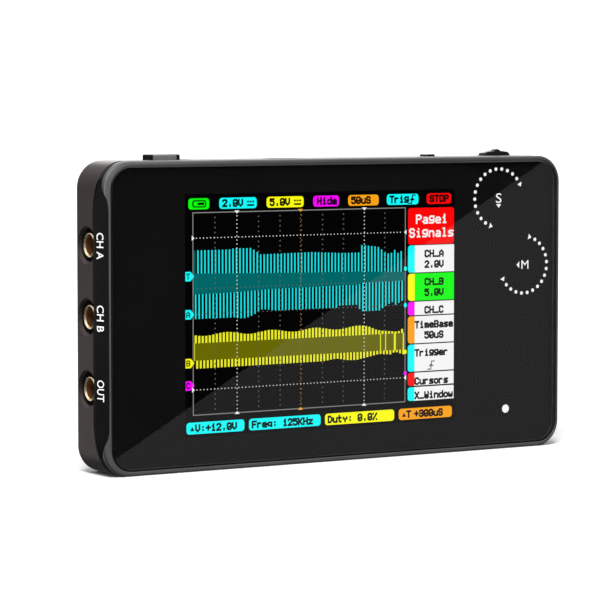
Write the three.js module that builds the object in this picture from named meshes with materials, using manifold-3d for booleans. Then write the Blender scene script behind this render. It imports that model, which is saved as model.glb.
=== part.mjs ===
// Pocket two-channel oscilloscope, millimetres.
// +X runs to the right along the long side, +Y to the back, +Z up.
// The origin is the middle of the bottom edge, half way through the thickness.

import * as THREE from 'three';
import { mergeVertices } from 'three/addons/utils/BufferGeometryUtils.js';
import Module from 'manifold-3d';

const wasm = await Module();
wasm.setup();

// ---- Driving dimensions ----

const WIDTH = 100;
const HEIGHT = 56.5;
const DEPTH = 10.7;
const CORNER = 5;
const MID_Z = HEIGHT / 2;
const FRONT = -DEPTH / 2;
const BACK = DEPTH / 2;

// The case is three rings deep: bezel in front, black mid frame, rear shell behind.
const BEZEL_BACK = -3.0;
const MID_BACK = -1.2;
const WALL = 1.2;
const BEZEL_SIDE = 0.25;
const BEZEL_EDGE = 0.85;
const SHELL_EDGE = 0.6;
const MID_INSET = 0.12;
const SEAM = 0.03;

const WINDOW = { inset: 1.25, front: FRONT + 0.1, back: FRONT + 0.9, edge: 0.1 };
const LEDGE = { inset: 2.8, front: -4.25 };
const GASKET = { front: -4.42, back: -4.28 };

// The left end of the bezel is scooped: a flat facet that leans inwards to the front.
const FACET = { lean: 0.6, skin: 0.2, low: 1.5, high: 55.5, ramp: 8.5, plateFront: FRONT + 0.2 };

const LCD = { left: -36.2, right: 33.0, low: 3.3, high: 53.2 };
const LCD_LAYERS = { front: -4.2, middle: -3.2, back: -2.35 };

const BOARD = { inset: 1.7, front: -1.9, back: -0.9 };
const BATTERY = { width: 40, height: 34, x: 12, z: 26, front: 0.1, back: 3.9 };

// Jacks and edge controls share one depth behind the board.
const CONTROL_Y = 1.2;
const JACK_Z = [41.4, 28.45, 15.5];
const JACK = { recess: 3.25, outer: 2.3, bore: 1.75, face: 0.45, boreDepth: 4.35 };

const SCREW = { x: 46, fromEdge: 4.2, head: 1.85, shaft: 0.8, boss: 2.0, clearance: 1.0 };

const SWITCH_X = -34.7;
const USB_X = -9;
const BUTTON_X = 23.4;
const S_DIAL_X = 39.0;
const M_DIAL_Z = 35.4;

const SWITCH_TRAVEL = 2.0;
const KNOB = { width: 6.2, depth: 3.4, proud: 1.0 };
const BUTTON = { width: 2.4, depth: 2.2, proud: 0.45 };
const LEVER = { half: 2.9, depth: 2.4, shoulder: 0.72, tooth: 1.15, pivot: -3.2, slot: 3.6 };
const LAMP = { x: 38.0, z: 7.6, radius: 0.8 };

// ---- Materials ----

function finish(color, roughness, metalness) {
  return new THREE.MeshStandardMaterial({ color, roughness, metalness });
}

const ANODISED = finish(0x3b3633, 0.45, 0.7);
const SILVER = finish(0x6f6f73, 0.35, 0.9);
const BLACK = finish(0x151516, 0.5, 0);
const GLASS = finish(0x0c0c0e, 0.08, 0);
const CLEAR = finish(0xe8e8e8, 0.2, 0);
const GOLD = finish(0xc79a4a, 0.25, 1);
const STEEL = finish(0xb9bcc0, 0.3, 1);
const WHITE = finish(0xf0efe8, 0.6, 0);
const GREEN = finish(0x1f5b36, 0.55, 0);
const FOIL = finish(0x8f949b, 0.4, 0.6);
const AMBER = finish(0xb0671f, 0.5, 0);
const RED = finish(0xb02020, 0.5, 0);

// ---- Solids ----

function solid(geometry) {
  const bare = geometry.clone();
  bare.deleteAttribute('normal');
  bare.deleteAttribute('uv');
  const merged = mergeVertices(bare);
  const mesh = new wasm.Mesh({
    numProp: 3,
    vertProperties: Float32Array.from(merged.attributes.position.array),
    triVerts: Uint32Array.from(merged.index.array),
  });
  return new wasm.Manifold(mesh);
}

function geometryOf(manifold) {
  const mesh = manifold.getMesh();
  const geometry = new THREE.BufferGeometry();
  geometry.setAttribute('position', new THREE.BufferAttribute(mesh.vertProperties, 3));
  geometry.setIndex(new THREE.BufferAttribute(mesh.triVerts, 1));
  geometry.computeVertexNormals();
  return geometry;
}

function cutAll(manifold, tools) {
  return tools.reduce((rest, tool) => rest.subtract(tool), manifold);
}

function joinAll(manifold, pieces) {
  return pieces.reduce((sum, piece) => sum.add(piece), manifold);
}

// A box between two corners.
function box(x0, x1, y0, y1, z0, z1) {
  const geometry = new THREE.BoxGeometry(x1 - x0, y1 - y0, z1 - z0);
  geometry.translate((x0 + x1) / 2, (y0 + y1) / 2, (z0 + z1) / 2);
  return geometry;
}

// Round bar along the depth of the case.
function barY(radius, x, z, y0, y1, segments = 16) {
  const geometry = new THREE.CylinderGeometry(radius, radius, y1 - y0, segments);
  geometry.translate(x, (y0 + y1) / 2, z);
  return geometry;
}

// Round bar along the long side of the case.
function barX(radius, y, z, x0, x1, segments = 20) {
  const geometry = new THREE.CylinderGeometry(radius, radius, x1 - x0, segments);
  geometry.rotateZ(Math.PI / 2);
  geometry.translate((x0 + x1) / 2, y, z);
  return geometry;
}

// Round bar along Z.
function barZ(radius, x, y, z0, z1, segments = 12) {
  const geometry = new THREE.CylinderGeometry(radius, radius, z1 - z0, segments);
  geometry.rotateX(Math.PI / 2);
  geometry.translate(x, y, (z0 + z1) / 2);
  return geometry;
}

function roundedRect(width, height, radius, x = 0, y = 0) {
  const right = x + width / 2 - radius;
  const left = x - width / 2 + radius;
  const high = y + height / 2 - radius;
  const low = y - height / 2 + radius;
  const shape = new THREE.Shape();
  shape.moveTo(left, low - radius);
  shape.lineTo(right, low - radius);
  shape.absarc(right, low, radius, -Math.PI / 2, 0, false);
  shape.lineTo(right + radius, high);
  shape.absarc(right, high, radius, 0, Math.PI / 2, false);
  shape.lineTo(left, high + radius);
  shape.absarc(left, high, radius, Math.PI / 2, Math.PI, false);
  shape.lineTo(left - radius, low);
  shape.absarc(left, low, radius, Math.PI, Math.PI * 1.5, false);
  return shape;
}

// The outline of the case, drawn in by inset on every side and by a little more at the two ends.
function caseOutline(inset, ends = 0) {
  return roundedRect(WIDTH - 2 * (inset + ends), HEIGHT - 2 * inset, CORNER - inset, 0, MID_Z);
}

// A shape drawn in X and Z, given thickness from y0 to y1, with both ends' edges rounded.
function slab(shape, y0, y1, edge = 0, curveSegments = 6, bevelSegments = 2) {
  const geometry = new THREE.ExtrudeGeometry(shape, {
    depth: y1 - y0 - 2 * edge,
    curveSegments,
    bevelEnabled: edge > 0,
    bevelThickness: edge,
    bevelSize: edge,
    bevelOffset: -edge,
    bevelSegments,
  });
  geometry.rotateX(Math.PI / 2);
  geometry.translate(0, y1 - edge, 0);
  return geometry;
}

// A shape drawn in X and Y, given thickness from z0 to z1, with both ends' edges rounded.
function tower(shape, z0, z1, edge = 0, curveSegments = 2) {
  const geometry = new THREE.ExtrudeGeometry(shape, {
    depth: z1 - z0 - 2 * edge,
    curveSegments,
    bevelEnabled: edge > 0,
    bevelThickness: edge,
    bevelSize: edge,
    bevelOffset: -edge,
    bevelSegments: 2,
  });
  geometry.translate(0, 0, z0 + edge);
  return geometry;
}

function keepBetween(manifold, y0, y1) {
  return manifold.intersect(solid(box(-WIDTH, WIDTH, y0, y1, -HEIGHT, 2 * HEIGHT)));
}

const SCREW_PLACES = [
  [-SCREW.x, SCREW.fromEdge],
  [SCREW.x, SCREW.fromEdge],
  [-SCREW.x, HEIGHT - SCREW.fromEdge],
  [SCREW.x, HEIGHT - SCREW.fromEdge],
];

function atScrews(radius, y0, y1, segments = 12) {
  return SCREW_PLACES.map(([x, z]) => solid(barY(radius, x, z, y0, y1, segments)));
}

// ---- The left end's facet ----

// How far forward the facet reaches at height z: nothing at its tips, all the way between.
function facetReach(z) {
  const fromTip = Math.min(z - FACET.low, FACET.high - z);
  const t = Math.min(Math.max(fromTip / FACET.ramp, 0), 1);
  return Math.sin((t * Math.PI) / 2);
}

// The facet's outline seen from the left, as a prism that reaches x1.
function facetPrism(front, back, x1) {
  const steps = 6;
  const heights = [];
  for (let i = 0; i <= steps; i += 1) {
    heights.push(FACET.low + (FACET.ramp * i) / steps);
  }
  for (let i = 0; i <= steps; i += 1) {
    heights.push(FACET.high - FACET.ramp + (FACET.ramp * i) / steps);
  }
  const start = BEZEL_BACK;
  const points = heights.map((z) => new THREE.Vector2(start + (front - start) * facetReach(z), z));
  points.push(new THREE.Vector2(back, FACET.high));
  points.push(new THREE.Vector2(back, FACET.low));
  const depth = x1 + WIDTH;
  const geometry = new THREE.ExtrudeGeometry(new THREE.Shape(points), { depth, bevelEnabled: false });
  // The shape's x is the case's Y and its y is the case's Z, so the extrusion runs along X.
  const turn = new THREE.Matrix4();
  turn.set(0, 0, 1, -WIDTH, 1, 0, 0, 0, 0, 1, 0, 0, 0, 0, 0, 1);
  geometry.applyMatrix4(turn);
  return solid(geometry);
}

// Everything on the outer side of the facet's plane, once the plane is moved in by offset.
function outsideFacet(offset) {
  const reach = MID_BACK - FRONT;
  const tilt = Math.atan2(FACET.lean, reach);
  const size = 30;
  const geometry = new THREE.BoxGeometry(size, size, 2 * HEIGHT);
  geometry.translate(-size / 2 + offset, 0, MID_Z);
  geometry.rotateZ(tilt);
  geometry.translate(-WIDTH / 2, MID_BACK, 0);
  return solid(geometry);
}

// What the facet's skin covers, once it is moved in by offset: the case's corners and the leaning plane.
function underFacet(offset) {
  const inside = solid(slab(caseOutline(MID_INSET + offset), FRONT - 2, 1));
  return inside.subtract(outsideFacet(offset));
}

// ---- Case ----

function bezel() {
  const block = keepBetween(solid(slab(caseOutline(0), FRONT, 1, BEZEL_EDGE)), FRONT - 1, BEZEL_BACK);
  const pocket = solid(slab(caseOutline(WALL, BEZEL_SIDE), FRONT - 1, LEDGE.front));
  const opening = solid(slab(caseOutline(LEDGE.inset), FRONT - 1, 0));
  const bosses = atScrews(SCREW.boss, LEDGE.front, BOARD.front - 0.05);
  const threads = atScrews(SCREW.shaft + 0.05, -3.8, 0);
  const ring = joinAll(cutAll(block, [pocket, opening]), bosses);
  const scoop = facetPrism(FRONT - 1, 0, -WIDTH / 2 + 5).subtract(underFacet(FACET.skin + SEAM));
  return geometryOf(cutAll(ring, [...threads, scoop]));
}

function midFrame() {
  const block = solid(slab(caseOutline(MID_INSET), BEZEL_BACK + SEAM, MID_BACK - SEAM));
  const opening = solid(slab(caseOutline(1.6), -4, 0));
  const plate = facetPrism(FACET.plateFront, MID_BACK - SEAM, -WIDTH / 2 + 5)
    .intersect(underFacet(0))
    .subtract(underFacet(FACET.skin));
  const wall = solid(box(-48.7, -47.7, MID_BACK - 0.5, 4, 9, 48));
  const holes = JACK_Z.map((z) => solid(barX(JACK.outer + 0.15, CONTROL_Y, z, -49.5, -46)));
  const ring = joinAll(cutAll(block, [opening]), [plate, wall]);
  return geometryOf(cutAll(ring, [outsideFacet(0), ...holes]));
}

// A tapered countersink that opens at the back face.
function countersink(x, z, radius, depth, lift = 0) {
  const geometry = new THREE.CylinderGeometry(radius, radius - depth, depth, 12);
  geometry.translate(x, BACK - depth / 2 + lift, z);
  return geometry;
}

function rearShell() {
  const whole = solid(slab(caseOutline(0), FRONT, BACK, SHELL_EDGE));
  const block = keepBetween(whole, MID_BACK, BACK + 1);
  const cavity = solid(slab(caseOutline(WALL), FRONT, BACK - WALL));
  const bosses = atScrews(SCREW.boss, BOARD.back + 0.05, BACK - WALL / 2);
  const bores = atScrews(SCREW.clearance, FRONT, BACK + 1);
  const sinks = SCREW_PLACES.map(([x, z]) => solid(countersink(x, z, SCREW.head + 0.1, 1, 0.02)));
  const jacks = JACK_Z.map((z) => solid(barX(JACK.recess, CONTROL_Y, z, -52, -48.2, 28)));
  const shell = joinAll(block.subtract(cavity), bosses);
  return geometryOf(cutAll(shell, [...bores, ...sinks, ...jacks, ...edgeSlots()]));
}

function windowPane() {
  return slab(caseOutline(WINDOW.inset, BEZEL_SIDE), WINDOW.front, WINDOW.back, WINDOW.edge, 6, 1);
}

function windowGasket() {
  const outer = solid(slab(caseOutline(1.35, BEZEL_SIDE), GASKET.front, GASKET.back, 0, 4));
  const inner = solid(slab(caseOutline(2.9), FRONT, 0, 0, 4));
  return geometryOf(outer.subtract(inner));
}

// Countersunk screw with a cross recess, driven in from the back.
function caseScrew(x, z) {
  const head = solid(countersink(x, z, SCREW.head, 0.95, -0.05));
  const shaft = solid(barY(SCREW.shaft, x, z, -3.6, BACK - 0.9, 12));
  const slotA = solid(box(x - 0.9, x + 0.9, BACK - 0.5, BACK + 1, z - 0.18, z + 0.18));
  const slotB = solid(box(x - 0.18, x + 0.18, BACK - 0.5, BACK + 1, z - 0.9, z + 0.9));
  return geometryOf(cutAll(head.add(shaft), [slotA.add(slotB)]));
}

// ---- Display ----

function lcdPanel() {
  return box(LCD.left, LCD.right, LCD_LAYERS.front, LCD_LAYERS.middle, LCD.low, LCD.high);
}

function lcdBacklight() {
  const front = LCD_LAYERS.middle + 0.05;
  return box(LCD.left, LCD.right, front, LCD_LAYERS.back, LCD.low, LCD.high);
}

// Ribbon that leaves the panel's left edge and folds back between backlight and board.
function lcdFlex() {
  const thickness = 0.12;
  const bend = 0.6;
  const start = LCD.left - 0.1;
  const centreY = BOARD.front - 0.15 - bend;
  const shape = new THREE.Shape();
  shape.moveTo(start, centreY - bend);
  shape.lineTo(start - 0.6, centreY - bend);
  shape.absarc(start - 0.6, centreY, bend, -Math.PI / 2, Math.PI / 2, true);
  shape.lineTo(start + 7, centreY + bend);
  shape.lineTo(start + 7, centreY + bend - thickness);
  shape.lineTo(start - 0.6, centreY + bend - thickness);
  shape.absarc(start - 0.6, centreY, bend - thickness, Math.PI / 2, -Math.PI / 2, false);
  shape.lineTo(start, centreY - bend + thickness);
  return tower(shape, MID_Z - 11, MID_Z + 11);
}

// ---- Board and what sits on it ----

function mainBoard() {
  const board = solid(slab(caseOutline(BOARD.inset), BOARD.front, BOARD.back, 0, 4));
  const wallNotch = solid(box(-60, -47.4, -3, 0, 8.5, 48.5));
  const jackNotches = JACK_Z.map((z) => solid(box(-60, -43.8, -3, 0, z - 2.7, z + 2.7)));
  const holes = atScrews(1.1, -3, 0);
  return geometryOf(cutAll(board, [wallNotch, ...jackNotches, ...holes]));
}

// A chip or header that stands on the back of the board.
function onBoard(x, z, width, height, thickness) {
  const y = BOARD.back + 0.05;
  return box(x - width / 2, x + width / 2, y, y + thickness, z - height / 2, z + height / 2);
}

function battery() {
  const shape = roundedRect(BATTERY.width, BATTERY.height, 1.5, BATTERY.x, BATTERY.z);
  return slab(shape, BATTERY.front, BATTERY.back, 0.8, 3);
}

function batteryTape() {
  const x = BATTERY.x;
  const z = BATTERY.z;
  return box(x - 16, x + 16, BOARD.back + 0.02, BATTERY.front - 0.05, z - 12, z + 12);
}

// A lead from the battery's left end to its connector.
function batteryLead(z) {
  const points = [
    new THREE.Vector3(BATTERY.x - BATTERY.width / 2 - 0.3, 2.6, z),
    new THREE.Vector3(-10.2, 2.7, z + 0.6),
    new THREE.Vector3(-11.6, 2.0, z + 0.3),
    new THREE.Vector3(-13.1, 1.1, z),
  ];
  const section = new THREE.Shape();
  section.absarc(0, 0, 0.45, 0, Math.PI * 2, false);
  const extrudePath = new THREE.CatmullRomCurve3(points);
  return new THREE.ExtrudeGeometry(section, { extrudePath, steps: 8, curveSegments: 4 });
}

function indicatorLamp() {
  return box(LAMP.x - 0.8, LAMP.x + 0.8, -2.5, BOARD.front - 0.05, LAMP.z - 0.4, LAMP.z + 0.4);
}

function indicatorLightPipe() {
  return barY(LAMP.radius, LAMP.x, LAMP.z, WINDOW.back + 0.05, -2.6, 12);
}

// ---- Signal jacks, along the left end ----

const JACK_FACE = -WIDTH / 2 + JACK.face;
const JACK_STEP = JACK_FACE + JACK.boreDepth;

function jackShell(z) {
  const barrel = solid(barX(JACK.outer, CONTROL_Y, z, JACK_FACE, -43.9, 24));
  const block = solid(box(-44, -40.5, -0.85, 3.3, z - 2.5, z + 2.5));
  const mouth = solid(barX(JACK.bore, CONTROL_Y, z, -51, JACK_STEP, 24));
  const socket = solid(barX(1.3, CONTROL_Y, z, -51, -40.9, 16));
  return geometryOf(cutAll(barrel.add(block), [mouth, socket]));
}

function jackInsulator(z) {
  const body = solid(barX(1.25, CONTROL_Y, z, JACK_STEP + 0.1, -41, 16));
  return geometryOf(body.subtract(solid(barX(0.55, CONTROL_Y, z, -51, -40, 12))));
}

function jackContact(z) {
  const pin = solid(barX(0.5, CONTROL_Y, z, JACK_STEP - 0.5, -41.2, 12));
  return geometryOf(pin.subtract(solid(barX(0.3, CONTROL_Y, z, -51, -43.5, 10))));
}

// ---- Edge controls ----
// Each is drawn with x along the edge, y through the case and z outwards from the edge's surface.

function placeOnTop(x) {
  return new THREE.Matrix4().makeTranslation(x, CONTROL_Y, HEIGHT);
}

function placeOnRight(z) {
  const turn = new THREE.Matrix4().makeRotationY(Math.PI / 2);
  return new THREE.Matrix4().makeTranslation(WIDTH / 2, CONTROL_Y, z).multiply(turn);
}

// The openings in the rear shell for every edge control.
function edgeSlots() {
  const slot = (width, depth, x = 0) => tower(roundedRect(width, depth, 0.6, x), -3, 2);
  const places = [
    [slot(KNOB.width + SWITCH_TRAVEL + 0.6, KNOB.depth + 0.3, SWITCH_TRAVEL / 2), placeOnTop(SWITCH_X)],
    [slot(8.2, 3.1), placeOnTop(USB_X)],
    [slot(BUTTON.width + 0.3, BUTTON.depth + 0.3), placeOnTop(BUTTON_X)],
    [slot(2 * LEVER.slot, LEVER.depth + 0.5), placeOnTop(S_DIAL_X)],
    [slot(2 * LEVER.slot, LEVER.depth + 0.5), placeOnRight(M_DIAL_Z)],
  ];
  return places.map(([geometry, place]) => solid(geometry.applyMatrix4(place)));
}

function powerSwitchCase() {
  const middle = SWITCH_TRAVEL / 2;
  const body = solid(box(middle - 4.4, middle + 4.4, -2, 2, -5, -1.4));
  const pocket = solid(box(-1.7, 1.7 + SWITCH_TRAVEL, -1.4, 1.4, -4.4, 0));
  return geometryOf(body.subtract(pocket));
}

function powerSwitchKnob() {
  const head = solid(tower(roundedRect(KNOB.width, KNOB.depth, 0.5), -1.1, KNOB.proud, 0.25));
  const stem = solid(box(-1.4, 1.4, -1.1, 1.1, -4.1, -0.8));
  const grooves = [-2, -1, 0, 1, 2].map((i) => solid(box(i * 0.9 - 0.18, i * 0.9 + 0.18, -3, 3, 0.7, 2)));
  return geometryOf(cutAll(head.add(stem), grooves));
}

function runButtonCap() {
  const head = solid(tower(roundedRect(BUTTON.width, BUTTON.depth, 0.45), -1.7, BUTTON.proud, 0.15));
  const flange = solid(box(-1.7, 1.7, -1.6, 1.6, -1.85, -1.35));
  const foot = solid(barZ(0.7, 0, 0, -2.9, -1.6));
  return geometryOf(joinAll(head, [flange, foot]));
}

function runButtonSwitch() {
  const body = solid(box(-1.9, 1.9, -2, 2, -4.4, -2.4));
  const well = solid(barZ(1.3, 0, 0, -3.9, -2.7));
  const guide = solid(barZ(0.85, 0, 0, -3.9, 0));
  return geometryOf(cutAll(body, [well, guide]));
}

// A shallow snap dome standing on height z, bulging outwards.
function snapDome(radius, rise, z) {
  const skin = 0.1;
  const top = [];
  const under = [];
  const rings = 2;
  for (let i = 0; i <= rings; i += 1) {
    const r = (radius * i) / rings;
    const lift = rise * (1 - (r / radius) ** 2);
    top.push(new THREE.Vector2(r, z + lift + skin));
    under.push(new THREE.Vector2(r, z + lift));
  }
  const profile = [...under, ...top.reverse()];
  const geometry = new THREE.LatheGeometry(profile, 12);
  return geometry.rotateX(Math.PI / 2);
}

function usbShell() {
  const outer = solid(tower(roundedRect(7.4, 2.5, 0.7), -5.6, -0.5));
  const inner = solid(tower(roundedRect(6.8, 1.9, 0.5), -5.3, 1));
  return geometryOf(outer.subtract(inner));
}

function usbTongue() {
  const base = solid(box(-3.1, 3.1, -0.8, 0.8, -5.2, -4.3));
  const tongue = solid(box(-2.4, 2.4, -0.55, 0.05, -4.4, -1.3));
  return geometryOf(base.add(tongue));
}

// ---- Jog dials: a lever on a pin, carried by a yoke that presses in ----

function dialCase() {
  const body = solid(box(-4, 4, -2, 2, -7, -1.6));
  const pocket = solid(box(-3.5, 3.5, -1.5, 1.5, -6.4, 0));
  return geometryOf(body.subtract(pocket));
}

function dialYoke() {
  const base = solid(box(-3.2, 3.2, -1.35, 1.35, -5.2, -4.6));
  const foot = solid(barZ(0.6, 0, 0, -5.5, -5));
  const ears = [-1.35, 0.9].map((y) => solid(box(-0.95, 0.95, y, y + 0.45, -4.7, -2.4)));
  const hole = solid(barY(0.5, 0, LEVER.pivot, -2, 2));
  return geometryOf(joinAll(base, [foot, ...ears]).subtract(hole));
}

function dialPin() {
  return barY(0.42, 0, LEVER.pivot, -1.3, 1.3, 12);
}

// The lever's head: two sloping shoulders with a rounded tooth between them.
function leverHead() {
  const shape = new THREE.Shape();
  shape.moveTo(-LEVER.half, -0.9);
  shape.lineTo(LEVER.half, -0.9);
  shape.lineTo(LEVER.half, LEVER.shoulder - 0.45);
  shape.quadraticCurveTo(LEVER.half - 0.1, LEVER.shoulder, LEVER.half - 0.8, LEVER.shoulder);
  shape.lineTo(1.1, LEVER.shoulder + 0.05);
  shape.quadraticCurveTo(0.8, LEVER.tooth, 0.3, LEVER.tooth);
  shape.lineTo(-0.3, LEVER.tooth);
  shape.quadraticCurveTo(-0.8, LEVER.tooth, -1.1, LEVER.shoulder + 0.05);
  shape.lineTo(-LEVER.half + 0.8, LEVER.shoulder);
  shape.quadraticCurveTo(-LEVER.half + 0.1, LEVER.shoulder, -LEVER.half, LEVER.shoulder - 0.45);
  return slab(shape, -LEVER.depth / 2, LEVER.depth / 2, 0, 3);
}

function dialLever() {
  const pivot = LEVER.pivot;
  const head = solid(leverHead());
  const hub = solid(barY(1.15, 0, pivot, -0.75, 0.75));
  const neck = solid(box(-0.85, 0.85, -0.75, 0.75, pivot, -0.8));
  const hole = solid(barY(0.5, 0, pivot, -2, 2));
  const springRoom = solid(barY(1.0, 0, pivot, -0.5, 0.5));
  const legRoom = solid(box(-1.4, 1.4, -0.5, 0.5, pivot - 2, pivot));
  return geometryOf(cutAll(joinAll(head, [hub, neck]), [hole, springRoom, legRoom]));
}

// The centring spring: one and a half turns round the pin, with both legs down to the yoke.
class CentringSpringPath extends THREE.Curve {
  getPoint(t, target = new THREE.Vector3()) {
    const radius = 0.74;
    const leg = 1.1;
    const turn = 3 * Math.PI;
    const total = 2 * leg + turn * radius;
    const along = t * total;
    const pivot = LEVER.pivot;
    if (along < leg) {
      return target.set(-radius, -0.3, pivot - leg + along);
    }
    if (along > total - leg) {
      return target.set(radius, 0.3, pivot - leg + (total - along));
    }
    const angle = (along - leg) / radius;
    const side = -0.3 + (0.6 * angle) / turn;
    return target.set(-radius * Math.cos(angle), side, pivot + radius * Math.sin(angle));
  }
}

function dialSpring() {
  const section = new THREE.Shape();
  section.absarc(0, 0, 0.1, 0, Math.PI * 2, false);
  const extrudePath = new CentringSpringPath();
  return new THREE.ExtrudeGeometry(section, { extrudePath, steps: 28, curveSegments: 3 });
}

// ---- Assembly ----

const group = new THREE.Group();

function add(parent, name, geometry, material) {
  const mesh = new THREE.Mesh(geometry, material.clone());
  mesh.name = name;
  parent.add(mesh);
}

function placed(matrix) {
  const holder = new THREE.Group();
  holder.applyMatrix4(matrix);
  group.add(holder);
  return holder;
}

function addCase() {
  add(group, 'front_window', windowPane(), GLASS);
  add(group, 'window_gasket', windowGasket(), BLACK);
  add(group, 'front_bezel', bezel(), SILVER);
  add(group, 'mid_frame', midFrame(), BLACK);
  add(group, 'rear_shell', rearShell(), ANODISED);
  SCREW_PLACES.forEach(([x, z], i) => add(group, `case_screw_${i + 1}`, caseScrew(x, z), STEEL));
}

function addDisplay() {
  add(group, 'lcd_panel', lcdPanel(), BLACK);
  add(group, 'lcd_backlight', lcdBacklight(), WHITE);
  add(group, 'lcd_flex', lcdFlex(), AMBER);
}

function addBoard() {
  add(group, 'main_board', mainBoard(), GREEN);
  add(group, 'processor_chip', onBoard(-22, 24, 14, 14, 1.4), BLACK);
  add(group, 'memory_chip', onBoard(-22, 38, 5, 4, 1.2), BLACK);
  add(group, 'amplifier_chip_a', onBoard(-34.5, 41.4, 5, 4, 1.2), BLACK);
  add(group, 'amplifier_chip_b', onBoard(-34.5, 28.45, 5, 4, 1.2), BLACK);
  add(group, 'output_driver_chip', onBoard(-34.5, 15.5, 5, 4, 1.2), BLACK);
  add(group, 'charger_chip', onBoard(-9, 47, 3, 3, 0.9), BLACK);
  add(group, 'clock_crystal', onBoard(-22, 12.5, 5, 3.2, 0.9), STEEL);
  add(group, 'indicator_led', indicatorLamp(), WHITE);
  add(group, 'indicator_light_pipe', indicatorLightPipe(), CLEAR);
}

function addBattery() {
  const leadZ = 12;
  add(group, 'battery', battery(), FOIL);
  add(group, 'battery_tape', batteryTape(), WHITE);
  add(group, 'battery_connector', onBoard(-15.4, leadZ + 1, 4.2, 5.2, 3.2), WHITE);
  add(group, 'battery_lead_red', batteryLead(leadZ + 2), RED);
  add(group, 'battery_lead_black', batteryLead(leadZ), BLACK);
}

function addJacks() {
  ['a', 'b', 'out'].forEach((label, i) => {
    add(group, `jack_${label}_shell`, jackShell(JACK_Z[i]), GOLD);
    add(group, `jack_${label}_insulator`, jackInsulator(JACK_Z[i]), WHITE);
    add(group, `jack_${label}_contact`, jackContact(JACK_Z[i]), GOLD);
  });
}

function addDial(label, matrix) {
  const holder = placed(matrix);
  add(holder, `${label}_dial_case`, dialCase(), BLACK);
  add(holder, `${label}_dial_dome`, snapDome(1.3, 0.25, -6.35), STEEL);
  add(holder, `${label}_dial_yoke`, dialYoke(), WHITE);
  add(holder, `${label}_dial_pin`, dialPin(), STEEL);
  add(holder, `${label}_dial_spring`, dialSpring(), STEEL);
  add(holder, `${label}_dial_lever`, dialLever(), BLACK);
}

function addEdgeControls() {
  const power = placed(placeOnTop(SWITCH_X));
  add(power, 'power_switch_case', powerSwitchCase(), STEEL);
  add(power, 'power_switch_knob', powerSwitchKnob(), BLACK);
  const usb = placed(placeOnTop(USB_X));
  add(usb, 'usb_port_shell', usbShell(), STEEL);
  add(usb, 'usb_port_tongue', usbTongue(), BLACK);
  const run = placed(placeOnTop(BUTTON_X));
  add(run, 'run_button_cap', runButtonCap(), BLACK);
  add(run, 'run_button_switch', runButtonSwitch(), STEEL);
  add(run, 'run_button_dome', snapDome(1.1, 0.2, -3.85), STEEL);
  addDial('s', placeOnTop(S_DIAL_X));
  addDial('m', placeOnRight(M_DIAL_Z));
}

addCase();
addDisplay();
addBoard();
addBattery();
addJacks();
addEdgeControls();

export default group;
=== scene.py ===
"""Looks for the pocket oscilloscope: case, window, lit display, jacks and edge controls around the CAD frame."""

import math

import bmesh
import bpy
from mathutils import Matrix, Vector

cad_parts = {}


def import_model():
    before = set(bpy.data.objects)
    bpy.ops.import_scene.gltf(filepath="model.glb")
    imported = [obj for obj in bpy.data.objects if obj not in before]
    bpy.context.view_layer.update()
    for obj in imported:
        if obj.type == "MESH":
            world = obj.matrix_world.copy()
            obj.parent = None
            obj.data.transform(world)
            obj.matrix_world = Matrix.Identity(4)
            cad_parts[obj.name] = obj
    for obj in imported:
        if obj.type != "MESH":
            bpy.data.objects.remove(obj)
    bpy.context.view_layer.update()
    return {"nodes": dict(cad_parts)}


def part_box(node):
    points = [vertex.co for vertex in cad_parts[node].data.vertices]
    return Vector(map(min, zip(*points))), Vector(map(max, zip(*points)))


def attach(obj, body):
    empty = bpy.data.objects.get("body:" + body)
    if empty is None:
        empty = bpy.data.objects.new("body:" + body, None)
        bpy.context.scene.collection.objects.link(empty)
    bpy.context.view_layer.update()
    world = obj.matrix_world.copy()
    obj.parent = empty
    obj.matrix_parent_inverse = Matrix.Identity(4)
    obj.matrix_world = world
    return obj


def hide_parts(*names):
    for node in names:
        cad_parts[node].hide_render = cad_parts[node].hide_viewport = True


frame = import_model()

# Shapes are drawn in millimetres, in the row's own frame, and scaled to metres when they are made.
MM = 0.001


def box_mm(node):
    low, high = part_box(node)
    return low / MM, high / MM


SHELL_LOW, SHELL_HIGH = box_mm("rear_shell")
FRONT = box_mm("front_bezel")[0].y
BACK = SHELL_HIGH.y
SHELL_FRONT = SHELL_LOW.y
WIDTH = SHELL_HIGH.x - SHELL_LOW.x
HEIGHT = SHELL_HIGH.z - SHELL_LOW.z
MID_Z = HEIGHT / 2
CORNER = 5.0
WALL = 1.2
SEAM = 0.03
BEZEL_BACK = -3.0
BEZEL_INNER = 0.8
LEDGE_FRONT = -4.25
LEDGE_INSET = 2.8
WINDOW_LOW, WINDOW_HIGH = box_mm("front_window")
WINDOW_INSET = 0.9

# The window's opening is drawn in by ENDS at its two ends, and sits SHIFT to the right of the middle.
ENDS = 0.23
SHIFT = 0.45
PANEL_FRONT = box_mm("lcd_panel")[0].y

# The black band between bezel and shell, seen from the side.
BAND_FRONT = -4.5
BAND_BACK = -3.0
BAND_INSET = 0.12
REBATE = 0.6

# The facet on the left end leans in by FACET_LEAN between the shell's front edge and the front.
FACET_LEAN = 0.88
FACET_LOW = 3.0
FACET_HIGH = 53.5
FACET_SKIN = 0.2


def centre_of(node):
    low, high = box_mm(node)
    return (low + high) / 2


# ---- Mesh helpers ----


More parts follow.
